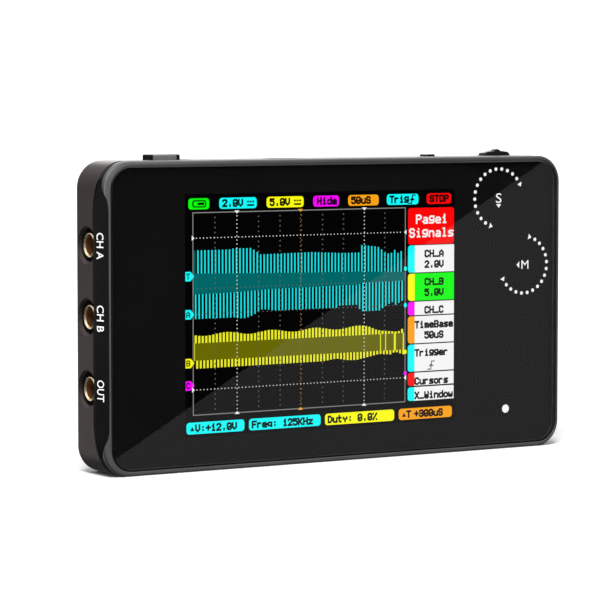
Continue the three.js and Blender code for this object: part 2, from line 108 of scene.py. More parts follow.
def piece(name, bm, body, materials, stands_for=(), sharp=35):
    """Turns a bmesh in millimetres into a finished piece that rides on a CAD body."""
    bmesh.ops.recalc_face_normals(bm, faces=bm.faces)
    limit = math.radians(sharp)
    for edge in bm.edges:
        if len(edge.link_faces) == 2 and edge.calc_face_angle(0) > limit:
            edge.smooth = False
    for face in bm.faces:
        face.smooth = True
    bmesh.ops.scale(bm, vec=(MM, MM, MM), verts=bm.verts)
    mesh = bpy.data.meshes.new(name)
    bm.to_mesh(mesh)
    bm.free()
    for material in materials:
        mesh.materials.append(material)
    obj = bpy.data.objects.new(name, mesh)
    bpy.context.scene.collection.objects.link(obj)
    flatten = obj.modifiers.new("flat_faces", "WEIGHTED_NORMAL")
    flatten.keep_sharp = True
    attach(obj, body)
    if stands_for:
        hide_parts(*stands_for)
    return obj


def loft(bm, loops, wrap=False, cap=False, slots=None):
    """Skins a list of loops that all have the same number of points."""
    rows = [[bm.verts.new(point) for point in loop] for loop in loops]
    pairs = list(zip(rows, rows[1:]))
    if wrap:
        pairs.append((rows[-1], rows[0]))
    for index, (near, far) in enumerate(pairs):
        for i in range(len(near)):
            j = (i + 1) % len(near)
            face = bm.faces.new((near[i], near[j], far[j], far[i]))
            face.material_index = slots[index] if slots else 0
    if cap:
        bm.faces.new(rows[0])
        bm.faces.new(rows[-1])
    return rows


def rounded_rect(width, height, radius, steps=6, x=0.0, y=0.0):
    """Corner points of a rounded rectangle, anticlockwise from the right side."""
    points = []
    for corner in range(4):
        side = 1 if corner in (0, 3) else -1
        end = 1 if corner in (0, 1) else -1
        cx = x + side * (width / 2 - radius)
        cy = y + end * (height / 2 - radius)
        for i in range(steps + 1):
            angle = math.pi / 2 * (corner + i / steps)
            points.append((cx + radius * math.cos(angle), cy + radius * math.sin(angle)))
    return points


def case_loop(inset, y, ends=0.0, shift=0.0, steps=14):
    """The case outline at depth y, drawn in by inset, by a little more at the two ends, and shifted."""
    radius = max(CORNER - inset, 0.5)
    flat = rounded_rect(WIDTH - 2 * (inset + ends), HEIGHT - 2 * inset, radius, steps, shift, MID_Z)
    return [(x, y, z) for x, z in flat]


def quarter(inset_from, y_from, inset_to, y_to, steps=6):
    """A quarter-round edge as (inset, y) pairs; it leaves the first point along y."""
    pairs = []
    for i in range(steps + 1):
        angle = math.pi / 2 * i / steps
        inset = inset_from + (inset_to - inset_from) * (1 - math.cos(angle))
        pairs.append((inset, y_from + (y_to - y_from) * math.sin(angle)))
    return pairs


def ring(bm, section, slots=None):
    """A closed ring that follows the case outline, from a closed list of case_loop arguments."""
    return loft(bm, [case_loop(*point) for point in section], wrap=True, slots=slots)


def circle(radius, steps=40):
    return [(radius * math.cos(2 * math.pi * i / steps), radius * math.sin(2 * math.pi * i / steps))
            for i in range(steps)]


def turned(bm, profile, place, steps=40, wrap=False, slots=None):
    """A turned shape: profile is (radius, height) pairs, and place maps its own axis z to the frame."""
    loops = []
    for radius, height in profile:
        loops.append([place @ Vector((x, y, height)) for x, y in circle(radius, steps)])
    return loft(bm, loops, wrap=wrap, cap=not wrap, slots=slots)


def tower(bm, width, depth, radius, heights, place, steps=5):
    """A rounded block: heights is (z, inset) pairs, and place maps its own frame to the row's."""
    loops = []
    for z, inset in heights:
        flat = rounded_rect(width - 2 * inset, depth - 2 * inset, max(radius - inset, 0.05), steps)
        loops.append([place @ Vector((x, y, z)) for x, y in flat])
    return loft(bm, loops, cap=True)


def block(bm, low, high, place=Matrix.Identity(4)):
    """A plain box between two corners, for cutters and small joined details."""
    size = Vector(high) - Vector(low)
    middle = (Vector(high) + Vector(low)) / 2
    made = bmesh.ops.create_cube(bm, size=1)["verts"]
    for vert in made:
        offset = Vector((vert.co.x * size.x, vert.co.y * size.y, vert.co.z * size.z))
        vert.co = place @ (middle + offset)
    return made


def prism(bm, points, y_back, y_front, slot=0):
    """A flat shape, given as (x, z) points anticlockwise, with thickness along Y."""
    back = [bm.verts.new((x, y_back, z)) for x, z in points]
    front = [bm.verts.new((x, y_front, z)) for x, z in points]
    faces = [bm.faces.new(front), bm.faces.new(list(reversed(back)))]
    for i in range(len(points)):
        j = (i + 1) % len(points)
        faces.append(bm.faces.new((front[j], front[i], back[i], back[j])))
    for face in faces:
        face.material_index = slot


def solid_object(bm):
    """A bmesh as a bare object, for use by the boolean modifier."""
    bmesh.ops.recalc_face_normals(bm, faces=bm.faces)
    mesh = bpy.data.meshes.new("tool")
    bm.to_mesh(mesh)
    bm.free()
    obj = bpy.data.objects.new("tool", mesh)
    bpy.context.scene.collection.objects.link(obj)
    return obj


def combine(bm, tool_bms, operation="DIFFERENCE"):
    """Applies boolean tools to a bmesh, and gives back the result as a new bmesh."""
    base = solid_object(bm)
    tools = [solid_object(tool) for tool in tool_bms]
    for tool in tools:
        modifier = base.modifiers.new("cut", "BOOLEAN")
        modifier.operation = operation
        modifier.solver = "EXACT"
        modifier.object = tool
    bpy.context.view_layer.update()
    evaluated = base.evaluated_get(bpy.context.evaluated_depsgraph_get())
    result = bmesh.new()
    result.from_mesh(evaluated.to_mesh())
    for obj in [base, *tools]:
        bpy.data.objects.remove(obj)
    bmesh.ops.remove_doubles(result, verts=result.verts, dist=1e-5)
    return result


def bevelled(bm, width, segments=3, angle=30):
    """Rounds the edges of a bmesh that turn by more than the angle."""
    edges = [e for e in bm.edges if len(e.link_faces) == 2 and e.calc_face_angle(0) > math.radians(angle)]
    bmesh.ops.bevel(bm, geom=edges, offset=width, segments=segments, profile=0.5, affect="EDGES")
    return bm


def new_bm():
    return bmesh.new()


# ---- Materials ----


def linear(*rgb):
    """A colour given in display values from 0 to 255, as the linear values that materials take."""
    values = []
    for channel in rgb:
        c = channel / 255
        values.append(c / 12.92 if c <= 0.04045 else ((c + 0.055) / 1.055) ** 2.4)
    return (*values, 1.0)


class Nodes:
    """A small helper that adds and links shader nodes."""

    def __init__(self, name):
        self.material = bpy.data.materials.new(name)
        self.material.use_nodes = True
        self.tree = self.material.node_tree
        self.shader = self.tree.nodes["Principled BSDF"]
        self.output = self.tree.nodes["Material Output"]
        self.place = self.add("ShaderNodeTexCoord").outputs["Object"]

    def add(self, kind, **settings):
        node = self.tree.nodes.new(kind)
        for key, value in settings.items():
            setattr(node, key, value)
        return node

    def link(self, source, target):
        self.tree.links.new(source, target)

    def noise(self, size_mm, detail=2.0, stretch=(1, 1, 1)):
        """Noise whose features are about size_mm across, longer where stretch is small."""
        mapping = self.add("ShaderNodeMapping")
        mapping.inputs["Scale"].default_value = stretch
        node = self.add("ShaderNodeTexNoise")
        node.inputs["Scale"].default_value = 1 / (size_mm * MM)
        node.inputs["Detail"].default_value = detail
        self.link(self.place, mapping.inputs["Vector"])
        self.link(mapping.outputs["Vector"], node.inputs["Vector"])
        return node.outputs["Fac"]

    def spread(self, source, low, high):
        """Maps the middle of a noise's range to values from low to high."""
        node = self.add("ShaderNodeMapRange")
        node.inputs["From Min"].default_value = 0.3
        node.inputs["From Max"].default_value = 0.7
        node.inputs["To Min"].default_value = low
        node.inputs["To Max"].default_value = high
        self.link(source, node.inputs["Value"])
        return node.outputs["Result"]

    def mix(self, factor, first, second):
        node = self.add("ShaderNodeMix", data_type="RGBA")
        self.link(factor, node.inputs[0])
        node.inputs[6].default_value = first
        node.inputs[7].default_value = second
        return node.outputs[2]

    def bump(self, source, height_mm, strength=1.0):
        node = self.add("ShaderNodeBump")
        node.inputs["Distance"].default_value = height_mm * MM
        node.inputs["Strength"].default_value = strength
        self.link(source, node.inputs["Height"])
        self.link(node.outputs["Normal"], self.shader.inputs["Normal"])


def scaled(colour, factor):
    return (*(min(c * factor, 1.0) for c in colour[:3]), 1.0)


def surface(name, colour, roughness, metallic=0.0, grain_mm=0.2, grain_height=0.004, mottle=0.12,
            stretch=(1, 1, 1), coat=0.0, shine=0.5, painted_top_highlight=0.0):
    """A solid finish: colour and roughness wander slightly, and a fine grain breaks the highlight.

    Faces that look upwards glow by themselves: a painted highlight that stands for a polished edge under an overhead
    light.
    """
    nodes = Nodes(name)
    shader = nodes.shader
    drift = nodes.noise(grain_mm * 30, 3.0)
    base = nodes.mix(nodes.spread(drift, 0, 1), scaled(colour, 1 - mottle), scaled(colour, 1 + mottle))
    nodes.link(base, shader.inputs["Base Color"])
    grain = nodes.noise(grain_mm, 2.0, stretch)
    nodes.link(nodes.spread(grain, roughness * 0.88, min(roughness * 1.12, 1)), shader.inputs["Roughness"])
    shader.inputs["Metallic"].default_value = metallic
    shader.inputs["Specular IOR Level"].default_value = shine
    shader.inputs["Coat Weight"].default_value = coat
    shader.inputs["Coat Roughness"].default_value = 0.1
    nodes.bump(grain, grain_height)
    # Painted highlight: faces that look upwards emit white light in step with the upward part of their normal.
    if painted_top_highlight:
        way = nodes.add("ShaderNodeSeparateXYZ")
        nodes.link(nodes.add("ShaderNodeNewGeometry").outputs["Normal"], way.inputs[0])
        nodes.link(nodes.spread(way.outputs["Z"], 0, painted_top_highlight), shader.inputs["Emission Strength"])
        shader.inputs["Emission Color"].default_value = (1, 1, 1, 1)
    return nodes.material


def glowing(name, colour, strength=1.0):
    """A lit display colour, with the faint dark grid between display dots; the printed legends use it too, as painted
    light.
    """
    nodes = Nodes(name)
    shader = nodes.shader
    stripes = nodes.add("ShaderNodeTexWave", wave_type="BANDS", bands_direction="X")
    stripes.inputs["Scale"].default_value = math.pi / (10 * DOT * MM)
    nodes.link(nodes.place, stripes.inputs["Vector"])
    level = nodes.spread(stripes.outputs["Fac"], strength * 0.97, strength * 1.03)
    shader.inputs["Base Color"].default_value = (0, 0, 0, 1)
    shader.inputs["Roughness"].default_value = 0.6
    shader.inputs["Specular IOR Level"].default_value = 0.0
    shader.inputs["Emission Color"].default_value = colour
    nodes.link(level, shader.inputs["Emission Strength"])
    return nodes.material


def tinted_glass():
    """Clear from behind, with the front face's reflection on top and a trace of haze."""
    nodes = Nodes("window_glass")
    clear = nodes.add("ShaderNodeBsdfTransparent")
    clear.inputs["Color"].default_value = (0.97, 0.97, 0.97, 1)
    gloss = nodes.add("ShaderNodeBsdfGlossy")
    smear = nodes.noise(9, 3.0)
    nodes.link(nodes.spread(smear, 0.002, 0.006), gloss.inputs["Roughness"])
    fresnel = nodes.add("ShaderNodeFresnel")
    fresnel.inputs["IOR"].default_value = 1.52
    side = nodes.add("ShaderNodeNewGeometry")
    outer = nodes.add("ShaderNodeMath", operation="SUBTRACT")
    outer.inputs[0].default_value = 1.0
    nodes.link(side.outputs["Backfacing"], outer.inputs[1])
    amount = nodes.add("ShaderNodeMath", operation="MULTIPLY")
    nodes.link(fresnel.outputs["Fac"], amount.inputs[0])
    nodes.link(outer.outputs["Value"], amount.inputs[1])
    both = nodes.add("ShaderNodeMixShader")
    nodes.link(amount.outputs["Value"], both.inputs["Fac"])
    nodes.link(clear.outputs["BSDF"], both.inputs[1])
    nodes.link(gloss.outputs["BSDF"], both.inputs[2])
    nodes.link(both.outputs["Shader"], nodes.output.inputs["Surface"])
    nodes.tree.nodes.remove(nodes.shader)
    return nodes.material


# The lit area: 320 by 240 dots.
DOT = 0.184
DOTS_WIDE = 320
DOTS_HIGH = 240
LIT_LEFT = -32.95
LIT_LOW = 6.18

SHELL_METAL = surface("shell_anodised", linear(76, 67, 66), 0.42, 0.9, 0.16, 0.002, 0.07)
BEZEL_METAL = surface("bezel_metal", linear(113, 112, 114), 0.34, 0.9, 0.14, 0.001, 0.06)
# The glass edge's upward faces carry a painted highlight.
GLASS_EDGE = surface("glass_edge", linear(80, 80, 82), 0.3, 1.0, 0.1, 0.001, 0.04, painted_top_highlight=0.07)
FRAME_BLACK = surface("frame_plastic", linear(10, 10, 11), 0.42, 0.0, 0.12, 0.004, shine=0.14)
DEEP_BLACK = surface("recess_black", linear(8, 8, 8), 0.6, 0.0, 0.15, 0.004, shine=0.12)
GLOSS_BLACK = surface("black_plastic", linear(14, 14, 15), 0.22, 0.0, 0.3, 0.002, coat=0.3)
PRINT_BLACK = surface("window_print", linear(6, 6, 7), 0.7, 0.0, 0.3, 0.0005, shine=0.1)
KNOB_GREY = surface("knob_grip", linear(92, 92, 94), 0.5, 0.0, 0.2, 0.004)
GOLD = surface("gold", linear(255, 234, 196), 0.2, 1.0, 0.12, 0.0015, 0.06)
# The bore's gold is darker and browner than the rim's: painted shade inside the jack.
GOLD_SHADED_BORE = surface("gold_bore_painted_shade", linear(176, 124, 76), 0.42, 0.9, 0.1, 0.003, 0.15, (1, 0.2, 1))
STEEL = surface("steel", linear(186, 188, 192), 0.28, 1.0, 0.1, 0.001, 0.05, (0.15, 1, 1))
SCREW_BLACK = surface("screw_black", linear(46, 46, 48), 0.34, 1.0, 0.1, 0.002)
WHITE_INK = surface("white_ink", linear(226, 226, 226), 0.5, 0.0, 0.2, 0.001, 0.02)
WINDOW_GLASS = tinted_glass()


# ---- Case ----


def facet_x(y):
    """Where the facet's plane is, in X, at depth y."""
    return -WIDTH / 2 + FACET_LEAN * (SHELL_FRONT - y) / (SHELL_FRONT - FRONT)


def facet_prism(y_front, y_back, seam=0.0):
    """The facet's outline seen from the left, as a body that reaches in past the case's corners.

    It is as narrow as the band at its tips, and widens to y_front and y_back away from them. Its front
    wall slants, so that the wall leaves the flat front of the bezel gradually.
    """
    bm = new_bm()
    loops = []
    steps = 128
    narrow_front = BAND_FRONT + seam
    narrow_back = BAND_BACK - seam
    side = -WIDTH / 2
    for i in range(steps + 1):
        z = FACET_LOW + (FACET_HIGH - FACET_LOW) * i / steps
        from_tip = min(z - FACET_LOW, FACET_HIGH - z)
        t = min(from_tip / 6, 1)
        opened = t * t * (3 - 2 * t)
        front = narrow_front + (y_front - narrow_front) * opened
        back = narrow_back + (y_back - narrow_back) * math.sin(math.pi / 2 * min(from_tip / 6.5, 1))
        outer, inner = 1.5, 1.3
        loops.append([(side - outer, front - outer * opened, z), (side + inner, front + inner * opened, z),
                      (side + inner, back, z), (side - outer, back, z)])
    loft(bm, loops, cap=True)
    return bm


def outside_facet(offset):
    """Everything on the outer side of the facet's plane, once the plane is moved in by offset."""
    bm = new_bm()
    front = FRONT - 3
    back = SHELL_FRONT + 5
    loops = []
    for z in (-5, HEIGHT + 5):
        loops.append([(-WIDTH, front, z), (facet_x(front) + offset, front, z),
                      (facet_x(back) + offset, back, z), (-WIDTH, back, z)])
    loft(bm, loops, cap=True)
    return bm


def under_facet(offset):
    """What the facet's skin covers: the case's corners and the leaning plane, both moved in by offset."""
    bm = new_bm()
    inset = BAND_INSET + offset
    loft(bm, [case_loop(inset, FRONT - 2), case_loop(inset, SHELL_FRONT + 2)], cap=True)
    return combine(bm, [outside_facet(offset)])


def facet_scoop():
    """The room for the facet's skin, cut out of the bezel and the shell."""
    return combine(facet_prism(FRONT - 1.05, SHELL_FRONT), [under_facet(FACET_SKIN + SEAM)])


def screw_places():
    return [centre_of(f"case_screw_{i}") for i in range(1, 5)]


def front_bezel():
    bm = new_bm()
    edge = 0.4
    chamfer = 0.06
    section = [(0, BAND_FRONT)] + quarter(0, FRONT + edge, edge, FRONT, 8)
    section += [(BEZEL_INNER - chamfer, FRONT, ENDS, SHIFT), (BEZEL_INNER, FRONT + chamfer, ENDS, SHIFT)]
    section += [(BEZEL_INNER, LEDGE_FRONT, ENDS, SHIFT), (LEDGE_INSET, LEDGE_FRONT), (LEDGE_INSET, BEZEL_BACK)]
    section += [(REBATE, BEZEL_BACK), (REBATE, BAND_FRONT)]
    ring(bm, section)
    piece("bezel_ring", combine(bm, [facet_scoop()]), "case", [BEZEL_METAL], ["front_bezel"])


def mid_frame():
    bm = new_bm()
    lip = 0.08
    front = BAND_FRONT + SEAM
    waist = BAND_BACK - SEAM
    back = SHELL_FRONT - SEAM
    skirt = REBATE - SEAM - 0.14
    section = [(BAND_INSET + lip, front), (BAND_INSET, front + lip), (BAND_INSET, waist), (skirt, waist)]
    section += [(skirt, back), (1.6, back), (1.6, BEZEL_BACK + SEAM), (REBATE - SEAM, BEZEL_BACK + SEAM)]
    section += [(REBATE - SEAM, front)]
    ring(bm, section)
    plate = combine(facet_prism(FRONT - 0.95, back, SEAM), [under_facet(FACET_SKIN)])
    plate = combine(plate, [under_facet(0)], "INTERSECT")
    short = new_bm()
    block(short, (-WIDTH, FRONT - 5, -HEIGHT), (WIDTH, FRONT + 0.05, 2 * HEIGHT))
    plate = combine(plate, [short])
    body = combine(combine(bm, [outside_facet(0)]), [plate], "UNION")
    wall = new_bm()
    block(wall, (-48.7, SHELL_FRONT - 0.5, 9), (-47.7, 4, 48))
    holes = []
    for label in JACKS:
        hole = new_bm()
        barrel_gap = JACK_BARREL + 0.15
        turned(hole, [(barrel_gap, -4), (barrel_gap, 2)], jack_place(label))
        holes.append(hole)
    body = combine(combine(body, [wall], "UNION"), holes)
    piece("mid_band", body, "case", [FRAME_BLACK], ["mid_frame"])


def slot_cutter(width, depth, radius, place, x=0.0):
    """A slot with a small chamfer at the surface, in an edge's own frame."""
    bm = new_bm()
    chamfer = 0.12
    heights = [(2, -chamfer), (0, -chamfer), (-chamfer, 0), (-3, 0)]
    tower(bm, width, depth, radius, heights, place @ Matrix.Translation((x, 0, 0)))
    return bm


def countersink_cutter(place):
    bm = new_bm()
    profile = [(2.1, 1), (2.1, 0), (1.0, -1.1), (1.0, -8)]
    turned(bm, profile, Matrix.Translation((place.x, BACK, place.z)) @ BACKWARD, 32)
    return bm


def rear_shell():
    bm = new_bm()
    edge = 0.6
    lip = 0.08
    rim = REBATE - 0.2
    section = [(WALL, BACK - WALL), (WALL, SHELL_FRONT), (rim, SHELL_FRONT), (rim, BAND_BACK)]
    section += [(lip, BAND_BACK), (0, BAND_BACK + lip)]
    section += quarter(0, BACK - edge, edge, BACK) + [(edge + 2, BACK)]
    loft(bm, [case_loop(inset, y) for inset, y in section], cap=True)
    cutters = [facet_scoop(), *(countersink_cutter(place) for place in screw_places())]
    for label in JACKS:
        recess = new_bm()
        profile = [(3.45, 3), (3.45, 0), (3.0, -0.5), (3.0, -1.8)]
        turned(recess, profile, jack_place(label), 64)
        cutters.append(recess)
    knob_travel = 2.0
    cutters.append(slot_cutter(8.8, 3.7, 0.6, on_top(SWITCH_X), knob_travel / 2))
    cutters.append(slot_cutter(8.2, 3.1, 1.0, on_top(USB_X)))
    cutters.append(slot_cutter(2.7, 2.5, 0.5, on_top(BUTTON_X)))
    cutters.append(slot_cutter(7.2, 2.9, 0.6, on_top(S_DIAL_X)))
    cutters.append(slot_cutter(7.2, 2.9, 0.6, on_right(M_DIAL_Z)))
    piece("shell_tub", combine(bm, cutters), "case", [SHELL_METAL], ["rear_shell"])


def window():
    bm = new_bm()
    bevel = 0.22
    front = WINDOW_LOW.y
    back = WINDOW_HIGH.y
    inset = WINDOW_INSET
    section = [(inset + 1.5, front), (inset + bevel, front), (inset, front + bevel), (inset, back), (inset + 1.5, back)]
    loft(bm, [case_loop(inset, y, ENDS, SHIFT) for inset, y in section], cap=True, slots=[0, 1, 2, 0])
    piece("window_pane", bm, "case", [WINDOW_GLASS, GLASS_EDGE, DEEP_BLACK], ["front_window"])


# ---- Places of the edge controls and jacks ----

EDGE_Y = centre_of("s_dial_case").y
SWITCH_X = centre_of("power_switch_knob").x
USB_X = centre_of("usb_port_shell").x
BUTTON_X = centre_of("run_button_cap").x
S_DIAL_X = centre_of("s_dial_case").x
M_DIAL_Z = centre_of("m_dial_case").z
JACKS = ("a", "b", "out")
JACK_BARREL = 2.3
BACKWARD = Matrix.Rotation(-math.pi / 2, 4, "X")


def on_top(x):
    return Matrix.Translation((x, EDGE_Y, HEIGHT))


def on_right(z):
    return Matrix.Translation((WIDTH / 2, EDGE_Y, z)) @ Matrix.Rotation(math.pi / 2, 4, "Y")


def jack_place(label):
    """A frame at a jack's mouth, on the left end, with z outwards."""
    middle = centre_of(f"jack_{label}_insulator")
    return Matrix.Translation((-WIDTH / 2, middle.y, middle.z)) @ Matrix.Rotation(-math.pi / 2, 4, "Y")


def case_screws():
    for i, middle in enumerate(screw_places(), 1):
        place = Matrix.Translation((middle.x, BACK, middle.z)) @ BACKWARD
        bm = new_bm()
        profile = [(1.75, -0.06), (1.88, -0.1), (1.88, -0.2), (0.85, -1.2), (0.8, -8.9)]
        turned(bm, profile, place, 32)
        cross = []
        for turn in (0, math.pi / 2):
            slot = new_bm()
            arm = place @ Matrix.Rotation(turn + math.radians(20 * i), 4, "Z")
            tower(slot, 1.9, 0.42, 0.1, [(0.5, 0), (-0.1, 0), (-0.75, 0.12)], arm, 3)
            cross.append(slot)
        piece(f"screw_{i}", combine(bm, cross), "case", [SCREW_BLACK], [f"case_screw_{i}"])


# ---- Jacks ----


def jacks():
    for label in JACKS:
        place = jack_place(label)
        bm = new_bm()
        lip = 0.28
        face = -0.45
        outer = JACK_BARREL
        bore = 1.8
        profile = [(outer, -6.1), (outer, face - lip)]
        for i in range(1, 7):
            angle = math.pi / 2 * i / 6
            profile.append((outer - lip * (1 - math.cos(angle)), face - lip * (1 - math.sin(angle))))
        profile += [(bore + 0.22, face), (bore, face - 0.3), (bore, -4.8), (1.3, -4.8), (1.3, -6.1)]
        slots = [0] * len(profile)
        # The bore's wall and floor take the darker gold: painted shade inside the jack.
        for i in (-4, -3, -2):
            slots[i] = 1
        turned(bm, profile, place, 48, wrap=True, slots=slots)
        piece(f"jack_{label}_ring", bm, "case", [GOLD, GOLD_SHADED_BORE], [f"jack_{label}_shell"])
        jack_block(label, place)
        core = new_bm()
        turned(core, [(1.25, -4.9), (1.25, -8.9), (0.56, -8.9), (0.56, -4.9)], place, 32, wrap=True)
        piece(f"jack_{label}_core", core, "case", [CORE_WHITE], [f"jack_{label}_insulator"])
        pin = new_bm()
        turned(pin, [(0.4, -4.3), (0.5, -4.4), (0.5, -8.7), (0.3, -8.7), (0.3, -4.3)], place, 24, wrap=True)
        piece(f"jack_{label}_pin", pin, "case", [GOLD], [f"jack_{label}_contact"])


def jack_block(label, place):
    """The square base behind a jack's barrel, hidden inside the case."""
    low, high = box_mm(f"jack_{label}_shell")
    base = new_bm()
    block(base, (-44, low.y + 0.25, low.z), (high.x, high.y, high.z))
    bore = new_bm()
    turned(bore, [(1.3, 0), (1.3, -9.1)], place, 32)
    piece(f"jack_{label}_base", combine(bevelled(base, 0.2), [bore]), "case", [GOLD])


CORE_WHITE = surface("jack_insulator", linear(120, 96, 60), 0.5, 0.0, 0.2, 0.002)


# ---- Edge controls ----


KNOB_WIDTH = 6.2


def power_knob():
    place = on_top(SWITCH_X)
    bm = new_bm()
    heights = [(-1.05, 0), (0.72, 0), (0.86, 0.05), (0.96, 0.16), (1.0, 0.32)]
    tower(bm, KNOB_WIDTH, 3.4, 0.45, heights, place)
    grooves = []
    for i in range(-4, 5):
        groove = new_bm()
        turned(groove, [(0.11, -3), (0.11, 3)],
               place @ Matrix.Translation((0.2 + i * 0.5, 0, 1.02)) @ Matrix.Rotation(math.pi / 2, 4, "X"), 16)
        grooves.append(groove)
    stem = new_bm()
    block(stem, (-1.4, -1.1, -4.1), (1.4, 1.1, -1.0), place)
    body = combine(combine(bm, grooves), [stem], "UNION")
    grip = (SWITCH_X - KNOB_WIDTH * 0.42, SWITCH_X + KNOB_WIDTH * 0.36)
    bmesh.ops.bisect_plane(body, geom=body.verts[:] + body.edges[:] + body.faces[:],
                           plane_co=(grip[0], 0, 0), plane_no=(1, 0, 0))
    bmesh.ops.bisect_plane(body, geom=body.verts[:] + body.edges[:] + body.faces[:],
                           plane_co=(grip[1], 0, 0), plane_no=(1, 0, 0))
    for face in body.faces:
        middle = face.calc_center_median()
        face.material_index = int(grip[0] < middle.x < grip[1] and middle.z > HEIGHT - 0.9)
    piece("switch_knob", body, "power_knob", [DEEP_BLACK, KNOB_GREY], ["power_switch_knob"])


def run_button():
    place = on_top(BUTTON_X)
    bm = new_bm()
    heights = [(-1.6, 0), (0.25, 0), (0.36, 0.04), (0.43, 0.12), (0.45, 0.24)]
    tower(bm, 2.4, 2.2, 0.45, heights, place)
    flange = new_bm()
    block(flange, (-1.7, -1.6, -1.85), (1.7, 1.6, -1.35), place)
    foot = new_bm()
    turned(foot, [(0.7, -2.9), (0.7, -1.7)], place, 24)
    body = combine(bm, [flange, foot], "UNION")
    piece("run_cap", body, "run_cap", [GLOSS_BLACK], ["run_button_cap"])


def lever_profile():
    """The lever's head from the side: two shoulders and a rounded tooth, as (x, z)."""
    half = 3.0
    points = [(-half, -0.9), (half, -0.9)]
    right = []
    steps = 36
    for i in range(steps + 1):
        x = half * (1 - i / steps)
        shoulder = (0.94 - 0.06 * x) * math.sqrt(max(1 - (x / half) ** 8, 0))
        tooth = 0.34 * math.exp(-((x / 0.7) ** 4))
        ripple = 0.04 * math.cos(x * 2 * math.pi / 0.7) if 1.0 < x < 2.6 else 0.0
        right.append((x, shoulder + tooth + ripple))
    points += right
    points += [(-x, z) for x, z in reversed(right[:-1])]
    return points


def jog_lever(name, place, body, node):
    bm = new_bm()
    half = 1.2
    round_over = 0.22
    outline = lever_profile()
    centre = Vector((0, 0, -0.2))
    loops = []
    for depth, shrink in ((-half, round_over), (-half + 0.07, 0.08), (-half + round_over, 0),
                          (half - round_over, 0), (half - 0.07, 0.08), (half, round_over)):
        loop = []
        for x, z in outline:
            away = Vector((x, 0, z)) - centre
            pulled = centre + away * (1 - shrink / max(away.length, 0.6))
            loop.append(place @ Vector((pulled.x, depth, max(pulled.z, -0.9))))
        loops.append(loop)
    loft(bm, loops, cap=True)
    low_parts = new_bm()
    pivot = -3.2
    hub_place = place @ Matrix.Translation((0, 0, pivot)) @ Matrix.Rotation(math.pi / 2, 4, "X")
    turned(low_parts, [(1.15, -0.75), (1.15, 0.75)], hub_place, 32)
    neck = new_bm()
    block(neck, (-0.85, -0.75, pivot), (0.85, 0.75, -0.8), place)
    cuts = []
    for radius, reach in ((0.5, 2.0), (1.0, 0.5)):
        cut = new_bm()
        turned(cut, [(radius, -reach), (radius, reach)], hub_place, 24)
        cuts.append(cut)
    leg_room = new_bm()
    block(leg_room, (-1.4, -0.5, pivot - 2), (1.4, 0.5, pivot), place)
    stalk = combine(combine(low_parts, [neck], "UNION"), [*cuts, leg_room])
    piece(name, combine(bm, [stalk], "UNION"), body, [GLOSS_BLACK], [node])


def charging_port():
    place = on_top(USB_X)
    bm = new_bm()
    loops = []
    for z, inset in ((-5.6, 0), (-0.45, 0), (-0.3, 0.1), (-0.45, 0.3), (-5.2, 0.3)):
        flat = rounded_rect(7.4 - 2 * inset, 2.5 - 2 * inset, 0.7 - inset * 0.8, 6)
        loops.append([place @ Vector((x, y, z)) for x, y in flat])
    loft(bm, loops, cap=True)
    piece("port_shell", bm, "case", [STEEL], ["usb_port_shell"])
    tongue = new_bm()
    tower(tongue, 4.8, 0.6, 0.12, [(-4.4, 0), (-1.4, 0), (-1.3, 0.08)], place @ Matrix.Translation((0, -0.25, 0)))
    base = new_bm()
    block(base, (-3.1, -0.8, -5.1), (3.1, 0.8, -4.3), place)
    piece("port_tongue", combine(tongue, [base], "UNION"), "case", [DEEP_BLACK], ["usb_port_tongue"])
    pads = new_bm()
    for i in range(-2, 3):
        block(pads, (i * 0.8 - 0.15, 0.04, -3.6), (i * 0.8 + 0.15, 0.09, -1.6), place)
    piece("port_contacts", pads, "case", [GOLD])


# ---- Printing ----

UNDER_GLASS = WINDOW_HIGH.y


def window_mask():
    """The black print behind the window, open over the lit area."""
    bm = new_bm()
    prism(bm, [(x, z) for x, _, z in case_loop(WINDOW_INSET + 0.3, 0, ENDS, SHIFT)], UNDER_GLASS + 0.025, UNDER_GLASS + 0.01)
    opening = new_bm()
    high = (LIT_LEFT + DOTS_WIDE * DOT, -3, LIT_LOW + DOTS_HIGH * DOT)
    block(opening, (LIT_LEFT, -6, LIT_LOW), high)
    piece("window_mask", combine(bm, [opening]), "case", [PRINT_BLACK])


def disc(bm, x, z, radius, y_back, y_front, steps=20):
    prism(bm, [(x + px, z + pz) for px, pz in circle(radius, steps)], y_back, y_front)


def dotted_arc(bm, centre, radius, start, end, y_back, y_front):
    """Fifteen dots round an arc, with an arrowhead at each end that points along it."""
    dots = 15
    step = (end - start) / (dots + 1)
    for i in range(1, dots + 1):
        angle = math.radians(start + step * i)
        disc(bm, centre[0] + radius * math.cos(angle), centre[1] + radius * math.sin(angle), 0.34, y_back, y_front)
    for at, way in ((start, -1), (end, 1)):
        angle = math.radians(at)
        out = Vector((math.cos(angle), math.sin(angle)))
        along = Vector((-math.sin(angle), math.cos(angle))) * way
        middle = Vector(centre) + out * radius
        corners = [middle + along * 0.45, middle - along * 0.3 + out * 0.55, middle - along * 0.3 - out * 0.55]
        if way > 0:
            corners.reverse()
        prism(bm, [tuple(c) for c in corners], y_back, y_front)


